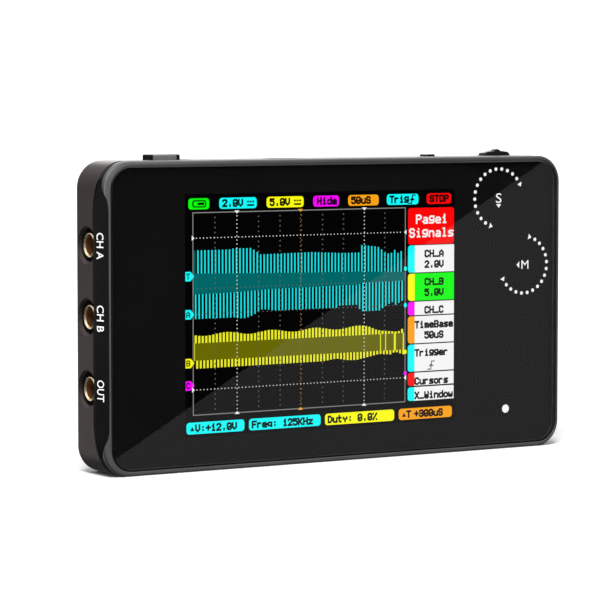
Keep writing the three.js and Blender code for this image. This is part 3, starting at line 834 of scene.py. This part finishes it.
def legends():
    """The two dotted arcs, their small pointers and the lamp's dot, printed behind the window and glowing by
    themselves: painted light that keeps the print white.
    """
    bm = new_bm()
    back = UNDER_GLASS + 0.008
    front = UNDER_GLASS + 0.002
    dotted_arc(bm, S_CENTRE, 5.62, 27, 251, back, front)
    dotted_arc(bm, M_CENTRE, 5.52, 75, -151, back, front)
    sx, sz = S_CENTRE
    prism(bm, [(sx - 0.6, sz - 1.15), (sx, sz - 1.85), (sx + 0.6, sz - 1.15)], back, front)
    mx, mz = M_CENTRE
    prism(bm, [(mx - 1.0, mz - 0.65), (mx - 1.0, mz + 0.65), (mx - 1.65, mz)], back, front)
    lamp = centre_of("indicator_light_pipe")
    disc(bm, lamp.x, lamp.z, 0.8, back, front, 32)
    piece("front_legends", bm, "case", [GLOWING_PRINT])


def lettering(name, text, width, height, place, material, weight=0.0):
    """Raised letters scaled to an exact width and height, centred on place's origin."""
    curve = bpy.data.curves.new(name, "FONT")
    curve.body = text
    curve.offset = weight
    curve.extrude = 0.01
    curve.resolution_u = 4
    source = bpy.data.objects.new(name, curve)
    bpy.context.scene.collection.objects.link(source)
    bpy.context.view_layer.update()
    bm = new_bm()
    bm.from_mesh(source.to_mesh())
    bpy.data.objects.remove(source)
    low = Vector(min(v.co[i] for v in bm.verts) for i in range(3))
    high = Vector(max(v.co[i] for v in bm.verts) for i in range(3))
    size = high - low
    middle = (high + low) / 2
    for vert in bm.verts:
        x, y, z = vert.co - middle
        vert.co = place @ Vector((x * width / size.x, y * height / size.y, z))
    bmesh.ops.remove_doubles(bm, verts=bm.verts, dist=1e-5)
    piece(name, bm, "case", [material])


S_CENTRE = (36.17, 48.42)
M_CENTRE = (42.1, 35.43)
# The printed legends and the S and M letters glow by themselves: painted light, since print is no lamp.
GLOWING_PRINT = glowing("legend_print_painted_glow", linear(252, 252, 252), 1.05)


def front_letters():
    flat = Matrix.Rotation(math.pi / 2, 4, "X")
    y = UNDER_GLASS + 0.01
    lettering("letter_s", "S", 1.3, 1.85, Matrix.Translation((S_CENTRE[0], y, S_CENTRE[1])) @ flat, GLOWING_PRINT)
    place = Matrix.Translation((M_CENTRE[0] + 0.35, y, M_CENTRE[1])) @ flat
    lettering("letter_m", "M", 1.65, 1.65, place, GLOWING_PRINT)


def jack_labels():
    """The words on the facet, reading downwards with their tops to the front."""
    lean = math.atan2(FACET_LEAN, SHELL_FRONT - FRONT)
    reading = Vector((0, 0, -1))
    upright = Vector((math.sin(lean), -math.cos(lean), 0))
    outward = Vector((-math.cos(lean), -math.sin(lean), 0))
    turn = Matrix((reading, upright, outward)).transposed().to_4x4()
    y = -3.2
    for name, text, label, length in (("label_a", "CH A", "a", 4.75), ("label_b", "CH B", "b", 4.75),
                                      ("label_out", "OUT", "out", 3.85)):
        place = Matrix.Translation((facet_x(y), y, centre_of(f"jack_{label}_insulator").z)) @ turn
        lettering(name, text, length, 1.95, place, WHITE_INK, 0.008)


# ---- Display ----

# Places on the display are in dots, right and up from the lit area's lower left corner.
PLOT_LEFT = 9.4
PLOT_LOW = 21.8
DIVISION = 25
PLOT_RIGHT = PLOT_LEFT + 10 * DIVISION
PLOT_HIGH = PLOT_LOW + 8 * DIVISION
PITCH = 4.0

LIT_COLOURS = {
    "black": (4, 4, 5),
    "frame": (138, 138, 136),
    "grid": (96, 96, 96),
    "white": (250, 250, 250),
    "cyan": (20, 255, 255),
    "trace_cyan": (28, 232, 236),
    "teal": (2, 104, 104),
    "yellow": (255, 255, 20),
    "trace_yellow": (240, 240, 40),
    "olive": (106, 106, 4),
    "green": (16, 255, 16),
    "red": (255, 10, 10),
    "magenta": (255, 12, 255),
    "orange": (255, 166, 24),
}

# Each letter is drawn on a grid of 5 by 7 dots: strokes are parted by "/", and "xy" is a point.
LETTERS = {
    "0": "10 01 05 16 36 45 41 30 10/12 33", "1": "14 26 20/10 30", "2": "05 16 36 45 44 00 40",
    "3": "05 16 36 45 44 33 42 41 30 10 01/13 33", "5": "46 06 04 34 43 41 30 10 01",
    "A": "00 04 26 44 40/02 42", "B": "00 06 36 45 44 33 03/33 42 41 30 00",
    "C": "45 36 16 05 01 10 30 41", "D": "00 06 26 44 42 20 00", "F": "00 06 46/03 33",
    "H": "00 06/40 46/03 43", "K": "00 06/46 02/13 40", "O": "10 01 05 16 36 45 41 30 10",
    "P": "00 06 36 45 44 33 03", "S": "45 36 16 05 04 13 33 42 41 30 10 01", "T": "06 46/26 20",
    "V": "06 02 20 42 46", "W": "06 01 10 23 30 41 46", "X": "00 46/06 40",
    "a": "14 34 43 40/42 12 01 10 30 41", "d": "46 40 10 01 03 14 44", "e": "02 42 43 34 14 03 01 10 40",
    "g": "45 15 04 03 12 42/45 41 30 00", "h": "06 00/03 14 34 43 40", "i": "24 20/10 30/14 24/26",
    "l": "26 20/16 26/10 30", "m": "00 04/03 14 23 20/23 34 43 40", "n": "00 04/03 14 34 43 40",
    "o": "10 01 03 14 34 43 41 30 10", "q": "44 14 03 02 11 41/44 40", "r": "00 04/03 14 34",
    "s": "44 14 03 12 32 41 30 00", "t": "16 11 20 30/04 34", "u": "04 01 10 30 41/44 40",
    "w": "04 01 10 22 30 41 44", "y": "04 03 22 20/44 43 22", "z": "04 44 00 40",
    ".": "20 21", ":": "21/24", "+": "03 43/21 25", "%": "00 46/06/40", "_": "00 40", " ": "",
}


def along(u, knots):
    """A value read off the straight lines between (u, value) knots."""
    for (u0, v0), (u1, v1) in zip(knots, knots[1:]):
        if u <= u1:
            return v0 + (v1 - v0) * max(u - u0, 0) / (u1 - u0)
    return knots[-1][1]


class Display:
    """Collects flat shapes, in dots, and makes one lit piece of each colour."""

    def __init__(self):
        self.shapes = {colour: [] for colour in LIT_COLOURS}

    def shape(self, colour, layer, points):
        self.shapes[colour].append((layer, points))

    def bar(self, colour, layer, left, low, right, high):
        self.shape(colour, layer, [(left, low), (right, low), (right, high), (left, high)])

    def pill(self, colour, layer, left, low, right, high, radius=3.2):
        middle = ((left + right) / 2, (low + high) / 2)
        self.shape(colour, layer, rounded_rect(right - left, high - low, radius, 4, *middle))

    def stroke(self, colour, layer, start, end, width):
        """A straight line with square ends."""
        a = Vector(start)
        b = Vector(end)
        run = (b - a).normalized() * width / 2 if a != b else Vector((width / 2, 0))
        side = Vector((-run.y, run.x))
        corners = (a - run - side, b + run - side, b + run + side, a - run + side)
        self.shape(colour, layer, [tuple(c) for c in corners])

    def text(self, colour, words, left, low, size=1.0, width=1.9, layer=5, pitch=6):
        for i, letter in enumerate(words):
            for line in filter(None, LETTERS[letter].split("/")):
                points = [(left + i * pitch + 0.5 + int(p[0]) * size, low + 0.5 + int(p[1]) * size)
                          for p in line.split()]
                for start, end in zip(points, points[1:] or points):
                    self.stroke(colour, layer, start, end, width)

    def build(self):
        for colour, shapes in self.shapes.items():
            bm = new_bm()
            for layer, points in shapes:
                back = PANEL_FRONT - 0.01 - 0.012 * layer
                prism(bm, [(LIT_LEFT + DOT * u, LIT_LOW + DOT * v) for u, v in points], back, back - 0.006)
            piece(f"display_{colour}", bm, "case", [glowing(f"lit_{colour}", linear(*LIT_COLOURS[colour]), 1.06)])


def draw_grid(lcd):
    for k in (1, 3, 4, 5, 6, 7, 9):
        u = PLOT_LEFT + k * DIVISION
        for j in range(1, 40):
            v = PLOT_LOW + j * 5
            lcd.pill("grid", 3, u - 0.7, v - 0.7, u + 0.7, v + 0.7, 0.5)
    for k in (4, 5):
        v = PLOT_LOW + k * DIVISION
        for j in range(1, 50):
            u = PLOT_LEFT + j * 5
            lcd.pill("grid", 3, u - 0.6, v - 0.6, u + 0.6, v + 0.6, 0.5)
    line = 0.45
    lcd.bar("frame", 4, PLOT_LEFT - line, PLOT_LOW - line, PLOT_RIGHT + line, PLOT_LOW + line)
    lcd.bar("frame", 4, PLOT_LEFT - line, PLOT_HIGH - line, PLOT_RIGHT + line, PLOT_HIGH + line)
    lcd.bar("frame", 4, PLOT_LEFT - line, PLOT_LOW + line, PLOT_LEFT + line, PLOT_HIGH - line)
    lcd.bar("frame", 4, PLOT_RIGHT - line, PLOT_LOW + line, PLOT_RIGHT + line, PLOT_HIGH - line)


def draw_cursors(lcd):
    """Dotted cursor lines with a small pointer at each end."""
    steps_up = int((PLOT_HIGH - PLOT_LOW) / PITCH)
    for colour, u in (("white", PLOT_LEFT + 2 * DIVISION), ("white", PLOT_LEFT + 8 * DIVISION), ("orange", 133.2)):
        half = 0.5 if colour == "white" else 0.32
        for j in range(1, steps_up):
            v = PLOT_LOW + j * PITCH
            lcd.pill(colour, 5, u - half, v - half, u + half, v + half, 0.2)
        lcd.shape(colour, 6, [(u, PLOT_HIGH - 1.6), (u + 2.9, PLOT_HIGH + 1.3), (u - 2.9, PLOT_HIGH + 1.3)])
        lcd.shape(colour, 6, [(u, PLOT_LOW + 1.6), (u - 2.9, PLOT_LOW - 1.3), (u + 2.9, PLOT_LOW - 1.3)])
    steps_across = int((PLOT_RIGHT - PLOT_LEFT) / PITCH)
    for k in (1, 7):
        v = PLOT_LOW + k * DIVISION
        for j in range(1, steps_across):
            u = PLOT_LEFT + j * PITCH
            lcd.pill("white", 5, u - 0.5, v - 0.45, u + 0.5, v + 0.45, 0.2)
        lcd.shape("white", 6, [(PLOT_LEFT + 1.6, v), (PLOT_LEFT - 1.3, v + 2.6), (PLOT_LEFT - 1.3, v - 2.6)])
        lcd.shape("white", 6, [(PLOT_RIGHT - 1.6, v), (PLOT_RIGHT + 1.3, v - 2.6), (PLOT_RIGHT + 1.3, v + 2.6)])


def bars(lcd, colour, first, width, low, high):
    """A comb of upright bars between two envelopes."""
    u = first
    while u < PLOT_RIGHT - 1:
        lcd.bar(colour, 2, u - width / 2, along(u, low), u + width / 2, along(u, high))
        u += PITCH * 0.9975


def band(lcd, colour, low, high):
    """The dim middle of a trace, between two envelopes."""
    edge = [(u, v) for u, v in low] + [(u, v) for u, v in reversed(high)]
    lcd.shape(colour, 1, edge)


def draw_trace_a(lcd):
    left = PLOT_LEFT + 0.7
    right = PLOT_RIGHT - 0.7
    crest = [(left, 184.7), (51, 184.7), (54, 185.5), (76, 185.5), (80, 183), (87, 178.7), (147, 179.4),
             (183, 177.4), (203, 177.4), (205, 184.8), (208, 184.8), (226, 182.6), (230, 180), (238, 175.4),
             (242, 175.4), (246, 179.2), (250, 175.4), (right, 179.2)]
    upper = [(left, 162), (90, 160), (150, 158.8), (205, 158), (235, 156.6), (right, 156)]
    lower = [(left, 141.2), (60, 142), (100, 143.8), (203, 144.6), (206, 146.4), (right, 147)]
    trough = [(left, 117), (58, 117), (62, 115.8), (69, 115.8), (74, 117), (78, 118.5), (88, 123.8), (93, 123.6),
              (104, 122.1), (176, 122.1), (180, 124.2), (200, 124.2), (204, 119.8), (208, 117.3), (228, 117.3),
              (236, 122.1), (244, 125.5), (248, 122.3), (right, 127.8)]
    band(lcd, "teal", lower, upper)
    bars(lcd, "trace_cyan", 15.1, 1.6, upper, crest)
    bars(lcd, "trace_cyan", 12.4, 1.6, trough, lower)
    lcd.bar("teal", 2, 10.4, 141, 12.0, 184.5)


def draw_trace_b(lcd):
    left = PLOT_LEFT + 1.6
    right = PLOT_RIGHT - 0.7
    crest = []
    for u in range(11, 216, 4):
        crest.append((u, 101.3 + 1.5 * math.cos(2 * math.pi * (u - 48) / 51.5)))
    crest += [(224, 97.8), (230, 96.5), (246, 95), (250, 94.6), (254, 95.6), (right, 99.8)]
    upper = [(left, 93), (right, 93)]
    lower = [(left, 75.8), (right, 75.8)]
    trough = [(left, 67.9), (160, 68.4), (176, 70.4), (190, 68.2), (200, 67.8), (216, 70.6), (228, 72.8),
              (242, 71.6), (247, 74.2), (right, 70.6)]
    band(lcd, "olive", lower, upper)
    bars(lcd, "trace_yellow", 12.4, 2.5, upper, crest)
    bars(lcd, "trace_yellow", 14.0, 2.3, trough, lower)
    for u, width in ((11.0, 0.7), (229.4, 1.1), (235.6, 1.1), (246.9, 2.4), (257.4, 1.4)):
        lcd.bar("trace_yellow", 3, u - width / 2, 75.5, u + width / 2, 93.3)


def draw_flags(lcd):
    """The level flags left of the plot, and their echoes on its right edge."""
    for colour, letter, v in (("cyan", "T", 159.2), ("cyan", "A", 121.6), ("yellow", "B", 73.4), ("magenta", "C", 51.2)):
        lcd.shape(colour, 4, [(0.8, v - 4.7), (6.6, v - 4.7), (10.8, v), (6.6, v + 4.7), (0.8, v + 4.7)])
        lcd.text("black", letter, 1.7, v - 2.9, 0.82, 1.1)
        lcd.pill(colour, 5, PLOT_RIGHT - 1.5, v - 2.1, PLOT_RIGHT + 1.9, v + 2.1, 1.2)


def draw_steady_current(lcd, u, v):
    lcd.bar("black", 5, u, v + 0.2, u + 8, v + 1.9)
    for i in range(3):
        lcd.bar("black", 5, u + 3 * i, v + 3.7, u + 2 + 3 * i, v + 5.5)


def draw_edge_sign(lcd, u, v):
    """A rising edge with an arrowhead part way up."""
    lcd.stroke("black", 5, (u, v), (u + 3.4, v), 1.2)
    lcd.stroke("black", 5, (u + 3.6, v), (u + 4.8, v + 8), 1.3)
    lcd.stroke("black", 5, (u + 4.8, v + 8.4), (u + 8, v + 8.4), 1.2)
    lcd.shape("black", 5, [(u + 0.8, v + 3), (u + 7.6, v + 3), (u + 4.5, v + 6.4)])


def draw_status(lcd):
    """The two rows of coloured tabs above and below the plot."""
    low, high = 225, 236
    lcd.pill("green", 4, 4.3, low, 28, high)
    lcd.pill("black", 5, 8.8, low + 1.9, 24.4, high - 1.9, 2.2)
    lcd.pill("green", 6, 10.2, low + 3.1, 23.1, high - 3.1, 1.4)
    lcd.pill("black", 7, 14.8, low + 4.3, 22.3, high - 4.3, 0.6)
    text_low = low + 2.1
    for colour, left, right, words, start in (
            ("cyan", 39.3, 82.3, "2.0V", 43.1), ("yellow", 93.7, 137, "5.0V", 97.6),
            ("magenta", 148.3, 179, "Hide", 153.1), ("orange", 189.9, 226.8, "50uS", 193.8),
            ("cyan", 236.7, 275.5, "Trig", 240.3), ("red", 285.6, 316.3, "STOP", 289.7)):
        lcd.pill(colour, 4, left, low, right, high)
        lcd.text("black", words, start, text_low)
    draw_steady_current(lcd, 71.2, text_low)
    draw_steady_current(lcd, 125.8, text_low)
    draw_edge_sign(lcd, 263.4, low + 1.2)
    low, high = 3, 14.7
    text_low = low + 2.2
    for colour, left, right, words, start in (
            ("cyan", 1.6, 67.8, "V:+12.0V", 11.8), ("cyan", 73, 157.2, "Freq: 125KHz", 76.7),
            ("yellow", 162.4, 246.3, "Duty: 0.0%", 166), ("orange", 251.8, 318, "+300uS", 271.2)):
        lcd.pill(colour, 4, left, low, right, high)
        lcd.text("black", words, start, text_low)
    lcd.text("black", "T", 261.6, text_low)
    for u in (8.1, 258.4):
        lcd.shape("black", 5, [(u - 2.4, text_low + 1), (u + 2.4, text_low + 1), (u, text_low + 5.2)])


def draw_menu(lcd):
    """The column of menu entries: a coloured tab and one or two lines each."""
    left, strip, right = 262.8, 271.2, 320
    lcd.pill("red", 4, left, 183.6, right - 0.2, 221.3, 3)
    lcd.text("white", "Page1", 272.8, 205.2, 1.32, 1.75, pitch=8)
    lcd.text("white", "Signals", 264.6, 191.2, 1.32, 1.75, pitch=8)
    entries = (("cyan", "white", 154.8, 182.8, "CH_A", 283.6, "2.0V"),
               ("yellow", "green", 125.7, 153.7, "CH_B", 283.6, "5.0V"),
               ("magenta", "white", 110.8, 124.6, "CH_C", 283.6, ""),
               ("orange", "white", 81.7, 109.6, "TimeBase", 271.6, "50uS"),
               ("cyan", "white", 52.5, 80.5, "Trigger", 271.6, ""),
               ("red", "white", 37.8, 51.2, "Cursors", 271.6, ""),
               ("cyan", "white", 22.2, 36.3, "X_Window", 271.6, ""))
    for tab, face, low, high, first, start, second in entries:
        lcd.pill(tab, 4, left, low, strip + 4, high, 3)
        lcd.bar(face, 5, strip, low, right, high)
        lcd.text("black", first, start, high - 12.3, layer=6)
        lcd.text("black", second, 283.6, high - 23.3, layer=6)
    draw_edge_sign(lcd, 287.6, 54)


def display():
    lcd = Display()
    lcd.bar("black", 0, 0, 0, DOTS_WIDE, DOTS_HIGH)
    draw_grid(lcd)
    draw_trace_a(lcd)
    draw_trace_b(lcd)
    draw_cursors(lcd)
    draw_flags(lcd)
    draw_status(lcd)
    draw_menu(lcd)
    lcd.build()


# ---- Camera, light and stage ----


def camera():
    yaw = math.radians(31.41)
    pitch = math.radians(4.0)
    distance = 556.95
    aside = -5.056
    lift = 1.559
    ahead = Vector((math.sin(yaw) * math.cos(pitch), math.cos(yaw) * math.cos(pitch), -math.sin(pitch)))
    right = Vector((math.cos(yaw), -math.sin(yaw), 0))
    up = right.cross(ahead)
    data = bpy.data.cameras.new("camera")
    data.sensor_width = 36
    data.lens = 177.88
    data.clip_start = 0.01
    data.clip_end = 50
    obj = bpy.data.objects.new("camera", data)
    bpy.context.scene.collection.objects.link(obj)
    spot = (Vector((0, 0, MID_Z)) - ahead * distance + right * aside + up * lift) * MM
    turn = Matrix((right, up, -ahead)).transposed().to_4x4()
    obj.matrix_world = Matrix.Translation(spot) @ turn
    bpy.context.scene.camera = obj
    return spot


def stage_plane(name, corners, material):
    mesh = bpy.data.meshes.new(name)
    mesh.from_pydata([tuple(c) for c in corners], [], [tuple(range(len(corners)))])
    mesh.materials.append(material)
    obj = bpy.data.objects.new(name, mesh)
    bpy.context.scene.collection.objects.link(obj)
    return obj


def plain(name, colour, glow=0.0):
    nodes = Nodes(name)
    nodes.shader.inputs["Base Color"].default_value = colour
    nodes.shader.inputs["Roughness"].default_value = 0.9
    nodes.shader.inputs["Specular IOR Level"].default_value = 0.0
    nodes.shader.inputs["Emission Color"].default_value = (1, 1, 1, 1)
    nodes.shader.inputs["Emission Strength"].default_value = glow
    return nodes.material


def reflection_card(name, corners, brightness):
    """A card that only shiny surfaces see."""
    card = stage_plane(name, corners, plain(name, (0, 0, 0, 1), brightness))
    card.visible_camera = False
    card.visible_diffuse = False
    card.visible_shadow = False
    card.visible_transmission = False
    return card


def mirror_cards(camera_spot):
    """A dark card and a grey card in front, whose shared edge crosses the window as a diagonal."""
    glass_y = WINDOW_LOW.y * MM
    twin = Vector((camera_spot.x, 2 * glass_y - camera_spot.y, camera_spot.z))
    card_y = -0.3

    def behind(x, z, y):
        point = Vector((x * MM, glass_y, z * MM))
        ray = point - twin
        return twin + ray * ((y - twin.y) / ray.y)

    low_left = (-47.46, 3.52)
    high_right = (45.57, 55.09)
    run = Vector(high_right) - Vector(low_left)
    start = Vector(low_left) - run * 0.2
    end = Vector(high_right) + run * 0.2
    drop = Vector((run.y, -run.x)) * 0.75
    grey = [behind(*start, card_y), behind(*end, card_y), behind(*(end + drop), card_y),
            behind(*(start + drop), card_y)]
    reflection_card("grey_card", grey, GREY_CARD)
    def upright(name, left, low, right, high, brightness):
        corners = [behind(x, z, card_y - 0.01) for x, z in ((left, low), (right, low), (right, high), (left, high))]
        reflection_card(name, corners, brightness)

    edge = WIDTH / 2 + 8
    upright("dark_card", -edge, -8, edge, HEIGHT + 8, 0.004)
    upright("bright_card", -230, 34, -edge, 260, 1.7)
    upright("dim_card", edge, -60, 230, 120, 0.05)


def light(name, spot, target, size, power):
    data = bpy.data.lights.new(name, "AREA")
    data.shape = "RECTANGLE"
    data.size, data.size_y = size
    data.energy = power
    obj = bpy.data.objects.new(name, data)
    obj.location = spot
    obj.rotation_euler = (Vector(target) - Vector(spot)).to_track_quat("-Z", "Y").to_euler()
    bpy.context.scene.collection.objects.link(obj)


GREY_CARD = 0.42
WORLD_FRONT = 0.27
WORLD_BACK = 0.43
WORLD_TOP = 1.2
WORLD_FLOOR = 0.12


def world():
    """White to the camera. To everything else: dark in front, soft grey behind and below, and brighter above."""
    data = bpy.data.worlds.new("studio")
    data.use_nodes = True
    bpy.context.scene.world = data
    tree = data.node_tree
    background = tree.nodes["Background"]

    def ramp(source, start, end, low, high):
        node = tree.nodes.new("ShaderNodeMapRange")
        node.interpolation_type = "SMOOTHSTEP"
        for name, value in (("From Min", start), ("From Max", end), ("To Min", low), ("To Max", high)):
            node.inputs[name].default_value = value
        tree.links.new(source, node.inputs["Value"])
        return node.outputs["Result"]

    def mixed(factor, first, second):
        node = tree.nodes.new("ShaderNodeMix")
        node.data_type = "FLOAT"
        for socket, value in ((0, factor), (2, first), (3, second)):
            if isinstance(value, float):
                node.inputs[socket].default_value = value
            else:
                tree.links.new(value, node.inputs[socket])
        return node.outputs[0]

    place = tree.nodes.new("ShaderNodeTexCoord")
    way = tree.nodes.new("ShaderNodeSeparateXYZ")
    path = tree.nodes.new("ShaderNodeLightPath")
    tree.links.new(place.outputs["Generated"], way.inputs["Vector"])
    sideways = ramp(way.outputs["Y"], -0.7, 0.6, WORLD_FRONT, WORLD_BACK)
    upper = ramp(way.outputs["Z"], 0.25, 0.85, 0.0, 1.0)
    lower = ramp(way.outputs["Z"], 0.0, -0.3, 0.0, 1.0)
    glow = mixed(lower, mixed(upper, sideways, WORLD_TOP), WORLD_FLOOR)
    tree.links.new(mixed(path.outputs["Is Camera Ray"], glow, 1.05), background.inputs["Strength"])
    background.inputs["Color"].default_value = (1, 1, 1, 1)


def overhead_light():
    """A soft light from above, in front and the left, so that the shadow falls behind the case."""
    data = bpy.data.lights.new("overhead", "SUN")
    data.energy = 4.6
    data.angle = math.radians(20)
    obj = bpy.data.objects.new("overhead", data)
    obj.rotation_euler = (math.radians(25), math.radians(-20), 0)
    obj.visible_glossy = False
    bpy.context.scene.collection.objects.link(obj)


def studio():
    bpy.context.scene.view_settings.view_transform = "Standard"
    world()
    reach = 6.0
    floor = stage_plane("floor", [(-reach, -reach, 0), (reach, -reach, 0), (reach, reach, 0), (-reach, reach, 0)],
                        plain("floor_white", (0.6, 0.6, 0.6, 1)))
    floor.visible_glossy = False
    overhead_light()
    light("front_softbox", (-0.5, -0.9, 0.7), (0, 0, 0.03), (0.6, 0.4), 1.5)
    backdrop = [(0.12, 0.6, 0.02), (0.8, 0.6, 0.02), (0.8, 0.6, 0.5), (0.12, 0.6, 0.5)]
    reflection_card("backdrop_card", backdrop, 3.2)
    low = [(-0.26, 0.25, -0.12), (-0.08, 0.25, -0.12), (-0.08, 0.25, 0.0), (-0.26, 0.25, 0.0)]
    reflection_card("low_card", low, 0.8)
    side = [(-0.15, -0.03, -0.15), (-0.15, 0.12, -0.15), (-0.15, 0.12, 0.015), (-0.15, -0.03, 0.015)]
    reflection_card("side_card", side, 0.0)
    mirror_cards(camera())


def kept_nodes():
    """Gives the CAD nodes that stay their own finishes."""
    finishes = {
        surface("gasket_foam", linear(22, 22, 22), 0.85, 0.0, 0.4, 0.02):
            ("window_gasket",),
        surface("panel_glass", linear(20, 22, 26), 0.12, 0.0, 0.3, 0.0005, coat=0.6):
            ("lcd_panel",),
        surface("white_plastic", linear(228, 226, 218), 0.5, 0.0, 0.2, 0.003, 0.04):
            ("lcd_backlight", "battery_connector", "indicator_led", "s_dial_yoke", "m_dial_yoke"),
        surface("flex_film", linear(188, 112, 40), 0.3, 0.0, 0.3, 0.001, 0.08, coat=0.4):
            ("lcd_flex",),
        surface("solder_mask", linear(22, 96, 56), 0.32, 0.0, 0.5, 0.006, 0.25, (1, 1, 4), coat=0.4):
            ("main_board",),
        surface("chip_resin", linear(36, 36, 38), 0.6, 0.0, 0.12, 0.006):
            ("processor_chip", "memory_chip", "amplifier_chip_a", "amplifier_chip_b", "output_driver_chip",
             "charger_chip"),
        surface("light_pipe", linear(226, 229, 232), 0.15, 0.0, 0.3, 0.0005, 0.03, coat=0.5):
            ("indicator_light_pipe",),
        surface("battery_foil", linear(172, 175, 180), 0.38, 0.85, 1.2, 0.03, 0.08):
            ("battery",),
        surface("foam_tape", linear(236, 234, 226), 0.9, 0.0, 0.3, 0.02, 0.03):
            ("battery_tape",),
        surface("lead_red", linear(186, 30, 26), 0.45, 0.0, 0.3, 0.003):
            ("battery_lead_red",),
        surface("lead_black", linear(24, 24, 25), 0.45, 0.0, 0.3, 0.003):
            ("battery_lead_black",),
        surface("switch_plastic", linear(30, 30, 32), 0.5, 0.0, 0.2, 0.004):
            ("s_dial_case", "m_dial_case"),
        surface("spring_steel", linear(170, 172, 178), 0.3, 1.0, 0.08, 0.001, 0.06):
            ("s_dial_spring", "m_dial_spring", "s_dial_dome", "m_dial_dome", "run_button_dome"),
        STEEL:
            ("clock_crystal", "power_switch_case", "run_button_switch", "s_dial_pin", "m_dial_pin"),
    }
    for material, names in finishes.items():
        for name in names:
            for slot in frame["nodes"][name].material_slots:
                slot.material = material


front_bezel()
mid_frame()
rear_shell()
window()
case_screws()
jacks()
power_knob()
run_button()
jog_lever("lever_s", on_top(S_DIAL_X), "s_dial_lever", "s_dial_lever")
jog_lever("lever_m", on_right(M_DIAL_Z), "m_dial_lever", "m_dial_lever")
charging_port()
window_mask()
legends()
front_letters()
jack_labels()
display()
kept_nodes()
studio()
